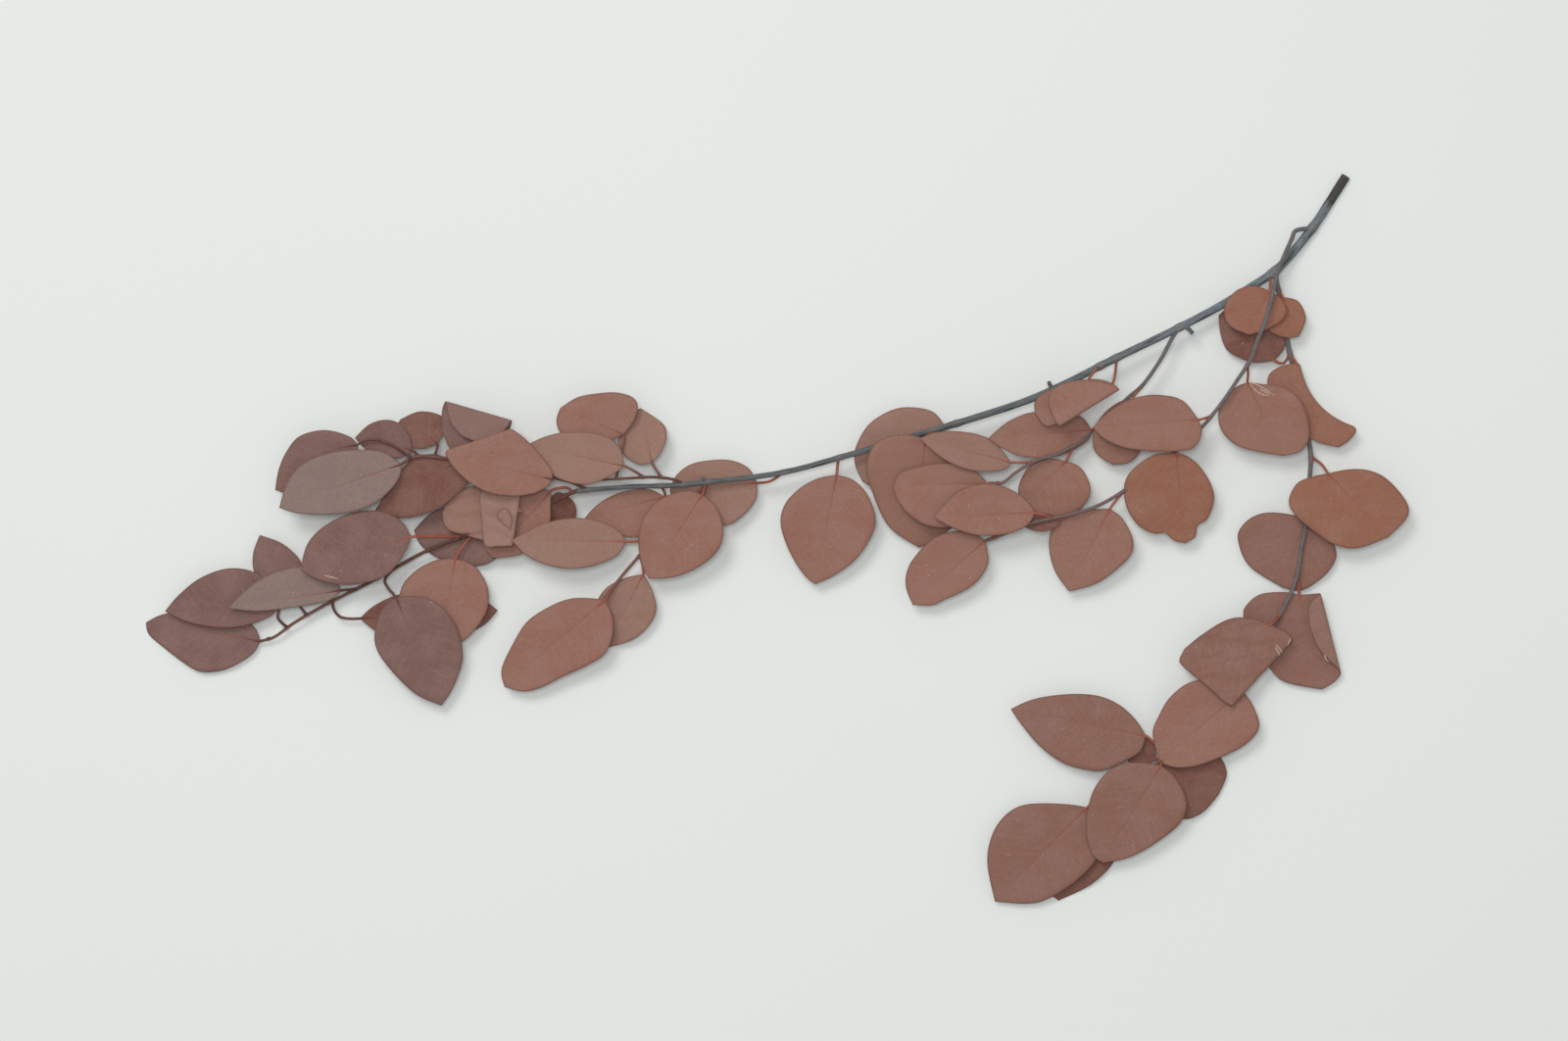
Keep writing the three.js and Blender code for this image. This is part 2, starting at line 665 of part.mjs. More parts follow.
// The blade's height at a plan point: a slope from base to tip, with a cupped and rippled rim.
function heightAt(leaf, plan, point) {
  const place = point.clone().sub(plan.base);
  const u = THREE.MathUtils.clamp(place.dot(plan.along) / plan.length, 0, 1);
  const across = THREE.MathUtils.clamp(place.dot(plan.left) / plan.half, -1, 1);
  const turn = 2 * Math.PI * (RIPPLE_TURNS * u + leaf.phase) + RIPPLE_LEAN * across;
  const rim = across ** 2 * ((leaf.cup ?? CUP) + RIPPLE * Math.sin(turn));
  return THREE.MathUtils.lerp(...leaf.heights, u) + rim + (leaf.roll ?? 0) * across;
}

// The middle surface of a plain blade: a fan from the middle of the outline.
function plainSurface(leaf) {
  const plan = planOf(leaf);
  const outline = outlineOf(leaf, plan, SIDE_STEPS);
  const middle = new THREE.Vector2();
  outline.forEach((point) => middle.addScaledVector(point, 1 / outline.length));
  const points = [middle, ...outline].map((point) => {
    return new THREE.Vector3(point.x, point.y, heightAt(leaf, plan, point));
  });
  const rim = outline.map((_, index) => index + 1);
  const faces = rim.map((corner, index) => [0, corner, rim[(index + 1) % rim.length]]);
  return { points, faces, rim };
}

// The fold line: how far a plan point lies along it and on its flap side, and the point at such a place,
// where reach is the distance along the line.
function creaseOf(fold) {
  const from = new THREE.Vector2(...fold.from);
  const to = new THREE.Vector2(...fold.to);
  const run = to.clone().sub(from).normalize();
  const flap = new THREE.Vector2(-run.y, run.x);
  const along = (point) => point.clone().sub(from).dot(run);
  const bow = (reach) => {
    const share = THREE.MathUtils.clamp(reach / from.distanceTo(to), 0, 1);
    return (fold.sag ?? 0) * 4 * share * (1 - share);
  };
  return {
    along,
    side: (point) => point.clone().sub(from).dot(flap) - bow(along(point)),
    at: (reach, side) => {
      return from.clone().addScaledVector(run, reach).addScaledVector(flap, side + bow(reach));
    },
  };
}

// Where a line parallel to the fold, this far on its flap side, enters and leaves the outline.
function crossings(outline, crease, distance) {
  const found = [];
  outline.forEach((point, index) => {
    const next = outline[(index + 1) % outline.length];
    const here = crease.side(point) - distance;
    const there = crease.side(next) - distance;
    if (here * there <= 0 && here !== there) {
      found.push(THREE.MathUtils.lerp(crease.along(point), crease.along(next), here / (here - there)));
    }
  });
  return [Math.min(...found), Math.max(...found)];
}

// How far from the fold line a folded blade's rows lie: on its main part, round the bend and on the flap.
function foldDistances(lowest, highest, bend) {
  const distances = [];
  for (let row = 0; row <= FOLD_ROWS; row += 1) {
    distances.push(lowest * (1 - row / FOLD_ROWS));
  }
  distances.push(bend / 3, (2 * bend) / 3);
  for (let row = 0; row < FOLD_ROWS; row += 1) {
    distances.push(THREE.MathUtils.lerp(bend, highest, row / (FOLD_ROWS - 1)));
  }
  return distances;
}

// The middle surface of a folded blade: rows parallel to the fold, so that the bend is round.
function foldedSurface(leaf) {
  const plan = planOf(leaf);
  const outline = outlineOf(leaf, plan, OUTLINE_STEPS);
  const crease = creaseOf(leaf.fold);
  const sides = outline.map((point) => crease.side(point));
  const bend = FOLD_RADIUS * FOLD_ANGLE;
  const distances = foldDistances(Math.min(...sides), Math.max(...sides), bend);
  const rows = distances.map((distance, row) => {
    const corner = outline[sides.indexOf(distance)];
    const isEnd = row === 0 || row === distances.length - 1;
    const ends = isEnd ? [crease.along(corner)] : crossings(outline, crease, distance);
    const arc = THREE.MathUtils.clamp(distance, 0, bend) / FOLD_RADIUS;
    const beyond = Math.max(distance - bend, 0);
    const side = Math.min(distance, 0) + FOLD_RADIUS * Math.sin(arc) + beyond * Math.cos(FOLD_ANGLE);
    const lift = FOLD_RADIUS * (1 - Math.cos(arc)) + beyond * Math.sin(FOLD_ANGLE);
    return Array.from({ length: isEnd ? 1 : FOLD_COLUMNS }, (_, column) => {
      const along = THREE.MathUtils.lerp(ends[0], ends.at(-1), column / (FOLD_COLUMNS - 1));
      const point = crease.at(along, side);
      return new THREE.Vector3(point.x, point.y, heightAt(leaf, plan, point) + leaf.fold.over * lift);
    });
  });
  return surfaceOfRows(rows);
}

// Triangles between rows of points, of which the first and the last are single points.
function surfaceOfRows(rows) {
  const starts = [0];
  rows.forEach((row) => starts.push(starts.at(-1) + row.length));
  const faces = [];
  for (let index = 0; index + 1 < rows.length; index += 1) {
    const here = starts[index];
    const there = starts[index + 1];
    for (let column = 0; column + 1 < FOLD_COLUMNS; column += 1) {
      if (rows[index].length === 1) {
        faces.push([here, there + column + 1, there + column]);
      } else if (rows[index + 1].length === 1) {
        faces.push([here + column, here + column + 1, there]);
      } else {
        faces.push([here + column, here + column + 1, there + column + 1]);
        faces.push([here + column, there + column + 1, there + column]);
      }
    }
  }
  const leftRim = rows.map((_, index) => starts[index]).reverse();
  const rightRim = rows.slice(1, -1).map((row, index) => starts[index + 1] + row.length - 1);
  return { points: rows.flat(), faces, rim: [...leftRim, ...rightRim] };
}

// A closed blade: the same triangles on both faces, half the thickness to either side, never below zero.
function bladeGeometry(leaf) {
  const { points, faces, rim } = leaf.fold ? foldedSurface(leaf) : plainSurface(leaf);
  const surface = new THREE.BufferGeometry().setFromPoints(points);
  surface.setIndex(faces.flat());
  surface.computeVertexNormals();
  const normals = surface.getAttribute("normal");
  const count = points.length;
  const upper = [];
  const lower = [];
  points.forEach((point, index) => {
    const offset = new THREE.Vector3().fromBufferAttribute(normals, index);
    offset.multiplyScalar(BLADE_THICKNESS / 2);
    const sunk = Math.max(0, Math.abs(offset.z) - point.z);
    const raised = point.clone().addScaledVector(UP, sunk);
    upper.push(raised.clone().add(offset));
    lower.push(raised.clone().sub(offset));
  });
  const triangles = faces.flatMap(([a, b, c]) => [[a, b, c], [a + count, c + count, b + count]]);
  rim.forEach((corner, index) => {
    const next = rim[(index + 1) % rim.length];
    triangles.push([corner + count, next + count, next], [corner + count, next, corner]);
  });
  const blade = new THREE.BufferGeometry().setFromPoints([...upper, ...lower]);
  blade.setIndex(triangles.flat());
  return blade;
}

// A closed round twig along a smooth curve through the points, tapered, and never below the surface.
function twigGeometry(points, startRadius, endRadius, sides, step) {
  const curve = new THREE.CatmullRomCurve3(points.map((point) => new THREE.Vector3(...point)));
  const rings = Math.max(2, Math.round(curve.getLength() / step));
  const vertices = [];
  for (let ring = 0; ring <= rings; ring += 1) {
    const share = ring / rings;
    const centre = curve.getPointAt(share);
    const tangent = curve.getTangentAt(share);
    const aside = new THREE.Vector3().crossVectors(tangent, UP).normalize();
    const above = new THREE.Vector3().crossVectors(aside, tangent);
    const radius = startRadius + (endRadius - startRadius) * share;
    for (let side = 0; side < sides; side += 1) {
      const angle = (2 * Math.PI * (side + 0.5)) / sides - Math.PI / 2;
      const point = centre.clone()
        .addScaledVector(aside, radius * Math.cos(angle))
        .addScaledVector(above, radius * Math.sin(angle));
      point.z = Math.max(0, point.z);
      vertices.push(point);
    }
  }
  const triangles = [];
  for (let ring = 0; ring < rings; ring += 1) {
    for (let side = 0; side < sides; side += 1) {
      const a = ring * sides + side;
      const b = ring * sides + ((side + 1) % sides);
      triangles.push([a, b + sides, b], [a, a + sides, b + sides]);
    }
  }
  const last = rings * sides;
  for (let side = 1; side + 1 < sides; side += 1) {
    triangles.push([0, side, side + 1], [last, last + side + 1, last + side]);
  }
  const twig = new THREE.BufferGeometry().setFromPoints(vertices);
  twig.setIndex(triangles.flat());
  return twig;
}

// A leaf's stalk, from the twig to a little way along the midrib, so that its end is sunk in the blade.
function stalkGeometry(leaf) {
  const plan = planOf(leaf);
  const inside = plan.base.clone().addScaledVector(plan.along, STALK_INTO_BLADE * plan.length);
  const places = [...leaf.stalk, leaf.rim[0]];
  const start = leaf.stalk[0][2];
  const route = places.map(([x, y], index) => {
    return [x, y, THREE.MathUtils.lerp(start, leaf.heights[0], index / (places.length - 1))];
  });
  route.push([inside.x, inside.y, heightAt(leaf, plan, inside)]);
  return twigGeometry(route, STALK_RADIUS, STALK_END_RADIUS, STALK_SIDES, STALK_STEP);
}

function solidOf(geometry) {
  const vertProperties = new Float32Array(geometry.getAttribute("position").array);
  const triVerts = new Uint32Array(geometry.getIndex().array);
  return new wasm.Manifold(new wasm.Mesh({ numProp: 3, vertProperties, triVerts }));
}

function geometryOf(solid) {
  const mesh = solid.getMesh();
  const geometry = new THREE.BufferGeometry();
  geometry.setAttribute("position", new THREE.BufferAttribute(new Float32Array(mesh.vertProperties), 3));
  geometry.setIndex(new THREE.BufferAttribute(new Uint32Array(mesh.triVerts), 1));
  geometry.computeVertexNormals();
  return geometry;
}

// A named mesh of the solid, without the slivers that the joins leave.
function meshOf(name, solid, finish) {
  const geometry = geometryOf(solid.asOriginal().simplify(SLIVER));
  const mesh = new THREE.Mesh(geometry, new THREE.MeshStandardMaterial(finish));
  mesh.name = name;
  return mesh;
}

function joined(solids) {
  return solids.reduce((whole, solid) => whole.add(solid));
}

let leafCount = 0;
function leafSolids(leaf) {
  leafCount += 1;
  leaf.phase = (leafCount * GOLDEN_STEP) % 1;
  return [solidOf(bladeGeometry(leaf)), solidOf(stalkGeometry(leaf))];
}

// The main stem with its stubs, or the room round it that other pieces keep clear.
function stemSolid(extra) {
  const radii = [STEM_RADIUS_CUT + extra, STEM_RADIUS_END + extra];
  const stubRadius = STUB_RADIUS + extra;
  const stem = twigGeometry(STEM_ROUTE, ...radii, STEM_SIDES, TWIG_STEP);
  const stubs = STEM_STUBS.map((route) => {
    return twigGeometry(route, stubRadius, stubRadius, TWIG_SIDES, STUB_STEP);
  });
  return joined([stem, ...stubs].map(solidOf));
}

function shootSolid(shoot) {
  const twig = twigGeometry(shoot.twig, ...shoot.radius, TWIG_SIDES, TWIG_STEP);
  return joined([solidOf(twig), ...shoot.leaves.flatMap(leafSolids)]);
}

const branch = new THREE.Group();
const aroundStem = stemSolid(STEM_GAP);
branch.add(meshOf("main_stem", stemSolid(0), BARK));
Object.entries(SHOOTS).forEach(([name, shoot]) => {
  branch.add(meshOf(name, shootSolid(shoot).subtract(aroundStem), shoot.finish));
});
STEM_LEAVES.forEach((leaf, index) => {
  const solid = joined(leafSolids(leaf)).subtract(aroundStem);
  branch.add(meshOf(`stem_leaf_${index + 1}`, solid, DRY_LEAF));
});

// The origin is at the middle of the box round the branch, on the surface it lies on.
const box = new THREE.Box3().setFromObject(branch);
const centre = box.getCenter(new THREE.Vector3());
branch.children.forEach((mesh) => mesh.position.set(-centre.x, -centre.y, -box.min.z));

export default branch;
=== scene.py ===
"""A dried eucalyptus branch: fine leaves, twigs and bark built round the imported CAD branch."""
import math

import bpy
import numpy as np
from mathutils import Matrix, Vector


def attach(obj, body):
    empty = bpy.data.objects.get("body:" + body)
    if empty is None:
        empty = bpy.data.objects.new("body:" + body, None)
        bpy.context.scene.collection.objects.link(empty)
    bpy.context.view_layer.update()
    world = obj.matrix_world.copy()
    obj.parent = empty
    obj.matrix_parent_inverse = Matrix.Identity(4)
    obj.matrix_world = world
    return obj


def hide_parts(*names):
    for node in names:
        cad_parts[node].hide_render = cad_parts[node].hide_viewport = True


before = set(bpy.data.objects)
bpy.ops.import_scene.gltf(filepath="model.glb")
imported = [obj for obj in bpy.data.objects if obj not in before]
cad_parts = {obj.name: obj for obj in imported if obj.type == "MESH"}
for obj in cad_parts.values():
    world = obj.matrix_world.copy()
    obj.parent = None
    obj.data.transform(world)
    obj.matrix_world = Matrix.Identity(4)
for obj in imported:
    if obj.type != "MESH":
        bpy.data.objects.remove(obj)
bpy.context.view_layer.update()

bl_info = {
    "name": "Eucalyptus Branch",
    "version": (1, 0, 0),
    "blender": (4, 5, 0),
    "location": "View3D > Sidebar > Branch",
    "description": "Builds a dried eucalyptus branch that lies on a pale floor",
    "category": "Object",
}

# Units and the tables' own origin: the middle of the box round the branch, in the tables' millimetres
MM = 0.001
ORIGIN = np.array((0.5086, 0.3415, 0.0))
UP = np.array((0.0, 0.0, 1.0))

# Leaf form, as in the CAD blades
CUP = 1.0
RIPPLE = 0.7
RIPPLE_TURNS = 1.4
RIPPLE_LEAN = 2.0
GOLDEN_STEP = 0.618
FOLD_RADIUS = 1.5
FOLD_ANGLE = 3.05

# Finer leaf form: the crease along the midrib, torn fibres, a distance at which no midrib shows, the
# dents of a dried blade, how a blade thins at its rim, its midrib's width, and the spread of the seeds
KEEL = 1.5
FIBRE_RADIUS = 0.3
FIBRE_RIDGES = 0.1
RIBLESS = 200.0
BROAD_DENT = 0.16
CLOSE_DENT = 0.06
RIM_THINNING = 0.5
RIM_WIDTH = 0.6
RIB_WIDTH = 0.5
SEED_SPREAD = 40

# Stem, twig and stalk form; a ridge wave has a height, turns round the twig, a pitch and a seed's share
STEM_RADIUS_CUT = 2.3
STEM_RADIUS_END = 1.15
STEM_RIDGES = 0.03
STEM_SEED = 1.0
STUB_RADIUS = 1.2
STUB_END_RADIUS = 0.8 * STUB_RADIUS
STUB_RIDGES = 0.04
STUB_SEED = 20.0
TWIG_RIDGES = 0.035
TWIG_SEED_STEP = 7.0
CUT_RINGS = (1.0, 0.9, 0.7, 0.5, 0.3, 0.15)
CUT_DISH = 0.25
STALK_RADIUS = 0.7
STALK_SWELL = 1.5
STALK_FOOT = 1.6
STALK_RIDGES = 0.03
STALK_END_RADIUS = 0.12
STALK_INTO_BLADE = (0.07, 0.16)
STALK_BEHIND_BLADE = (0.03, 0.06)
NODE_SWELL = 0.16
NODE_WIDTH = 2.0
RIDGE_WAVES = ((1.0, 4, 0.03, 1), (0.6, 7, -0.11, 3), (0.5, 2, 0.45, 5))
BUD_LENGTH = 2.0
BUD_RADIUS = 0.65

# Fineness of the meshes
CURVE_STEPS = 24
OUTLINE_POINTS = 400
LEAF_ROWS = 40
ROW_CROWDING = 1.15
RIB_SHARE = 0.06
SLOPE_STEP = 0.05
RIB_COLUMNS = (0.0, 0.35, 0.8, 1.6)
HALF_COLUMNS = 12
FOLD_MAIN_ROWS = 28
FOLD_BEND_ROWS = 12
FOLD_FLAP_ROWS = 16
FOLD_COLUMNS = 40
STEM_SIDES = 28
STEM_STEP = 1.5
TWIG_SIDES = 14
TWIG_STEP = 1.6
STALK_SIDES = 10
STALK_STEP = 1.0
STUB_STEP = 0.6

# Stage: places and sizes in metres, the sensor in millimetres, and how far the floor's mottling dims it
KEY_PLACE = (-1.1, 1.8, 3.4)
KEY_SIZE = 1.6
KEY_TONE = (1.0, 0.985, 0.96)
TOP_PLACE = (-0.1, 0.2, 3.0)
TOP_SIZE = 0.8
TOP_TONE = (1.0, 1.0, 1.0)
FLOOR_DIM = 0.985
SENSOR_WIDTH = 36.0
VIEW_DEPTH = 100.0

# The main stem, from its cut end to the fork at the far end, and the stubs of lost side twigs
STEM_ROUTE = [
    (291.5, 185, 1.7), (283, 171.5, 1.7), (276, 161, 2.4), (264, 146, 4.6), (255, 136.5, 6.6),
    (243, 128.5, 8.2), (226, 118.2, 10), (206, 107.6, 12), (168, 89.2, 14), (150, 80, 14.6),
    (130, 71, 15.2), (100, 61, 15.5), (70, 52, 15), (40, 43.3, 14.6), (5, 34, 14.6), (-20, 30.5, 15),
    (-50, 27.5, 15.6), (-75, 26.5, 16.2), (-100, 24.5, 17),
]
STEM_STUBS = [
    [(207, 108.6, 12), (210, 107, 12.6), (212.5, 104.5, 13.4)],
    [(141, 76, 15), (140, 78, 15.6), (139.2, 79.8, 16.4)],
    [(-34, 28.8, 15.4), (-35, 29.8, 16), (-36.5, 31, 17)],
]


def new_leaf(tone, heights, tip, stalk, rim, **more):
    """One leaf of the tables: the heights of its base and tip, the number of the rim point at its tip, a
    stalk that starts on the twig, and a rim that starts at the base and runs once round the flat blade."""
    return dict(tone=tone, heights=heights, tip=tip, stalk=stalk, rim=rim, **more)


# Twigs of the leafy shoots
SHOOTS = {
    "right_shoot": dict(
        slot="dry_leaf", radius=(1.3, 0.8), twig_tone="grey", stalk_tone="red",
        twig=[
            (255, 136.5, 6.6), (255.5, 131, 7.2), (258, 121, 7), (262, 97, 6), (264, 88, 6),
            (268, 70, 5.5), (271.5, 53, 7), (273, 42, 8), (272.5, 33, 8), (270, 5, 8), (268.5, -2, 8),
            (266, -18, 8), (263, -27, 8), (259, -35, 8), (254, -44, 8), (243, -60, 7.5), (228, -78, 7),
            (212, -97, 7), (197, -112, 7), (178, -125, 6.5), (160, -136, 6),
        ],
    ),
    "middle_shoot": dict(
        slot="dry_leaf", radius=(1.1, 0.8), twig_tone="grey", stalk_tone="red",
        twig=[
            (274, 158.3, 3), (268.5, 157.8, 5.2), (264.9, 156.6, 6.6), (263.6, 153.5, 8),
            (261.5, 149, 9.8), (258, 141.5, 12.5), (255.5, 136, 14), (254, 130, 16), (251, 118, 19),
            (248, 108.5, 21), (245, 102, 22), (241, 91, 22), (234, 80, 22), (228, 71, 21.5),
            (220, 60.5, 19.6), (217, 57, 17.3), (205, 46, 14.5), (197, 40, 12), (191, 35, 11.3),
            (184, 29.5, 12), (177.5, 24.5, 14), (163, 16.5, 17), (150, 12.5, 18), (140, 10.5, 18),
            (130, 8, 17), (120, 4, 15.5), (107, -1, 13.5),
        ],
    ),
    "inner_shoot": dict(
        slot="dry_leaf", radius=(1, 0.75), twig_tone="grey", stalk_tone="red",
        twig=[
            (206, 108, 12), (202, 102, 12.6), (195.5, 90, 13), (186, 77, 12), (181, 73, 10.5),
            (172, 64.5, 9), (165, 58, 9.5), (159, 52.5, 13), (155, 49, 15.5), (149, 46, 17), (143, 43, 18),
            (135, 40.8, 18.5), (130, 38.5, 18.3), (122, 33.5, 17.3), (115.5, 28.5, 16.7),
            (109, 28.5, 16.5),
        ],
    ),
    "lower_shoot": dict(
        slot="dry_leaf", radius=(1, 0.75), twig_tone="rust", stalk_tone="red",
        twig=[
            (-34, 29, 15.2), (-36, 26, 14), (-40, 22, 12.5), (-52, 9, 11.2), (-62, -1, 11), (-69, -9, 11),
            (-78, -19.5, 11.5), (-86, -30, 12.5),
        ],
    ),
    "upper_shoot": dict(
        slot="dry_leaf", radius=(0.8, 0.6), twig_tone="brown", stalk_tone="rust",
        twig=[
            (-46, 28, 15.5), (-50, 30, 17.2), (-60, 31.4, 18.2), (-72, 31, 18.4), (-83, 30.4, 18),
            (-94, 29.8, 18),
        ],
    ),
    "left_upper_shoot": dict(
        slot="mauve_leaf", radius=(1, 0.8), twig_tone="brown", stalk_tone="brown",
        twig=[
            (-95, 25, 16.8), (-100, 28, 17.6), (-104, 29.4, 17), (-110, 31, 16.2), (-125, 35, 16),
            (-145, 39, 16.5), (-166, 41, 17), (-175, 42, 17), (-183, 41.5, 17), (-189, 38, 18),
        ],
    ),
    "left_lower_shoot": dict(
        slot="mauve_leaf", radius=(1, 0.7), twig_tone="brown", stalk_tone="brown",
        twig=[
            (-100, 24.5, 17), (-105, 22.5, 14.5), (-110, 20, 12), (-116, 17.5, 10.5), (-130, 12, 9.5),
            (-150, 4, 8.5), (-165, -1, 8), (-178, -6.5, 8), (-190, -13, 8), (-200, -19, 7.5),
            (-215, -26.5, 7), (-225, -31.5, 7), (-235, -37, 6.5), (-245, -43, 6), (-255, -50, 5),
            (-262, -52, 4),
        ],
    ),
}

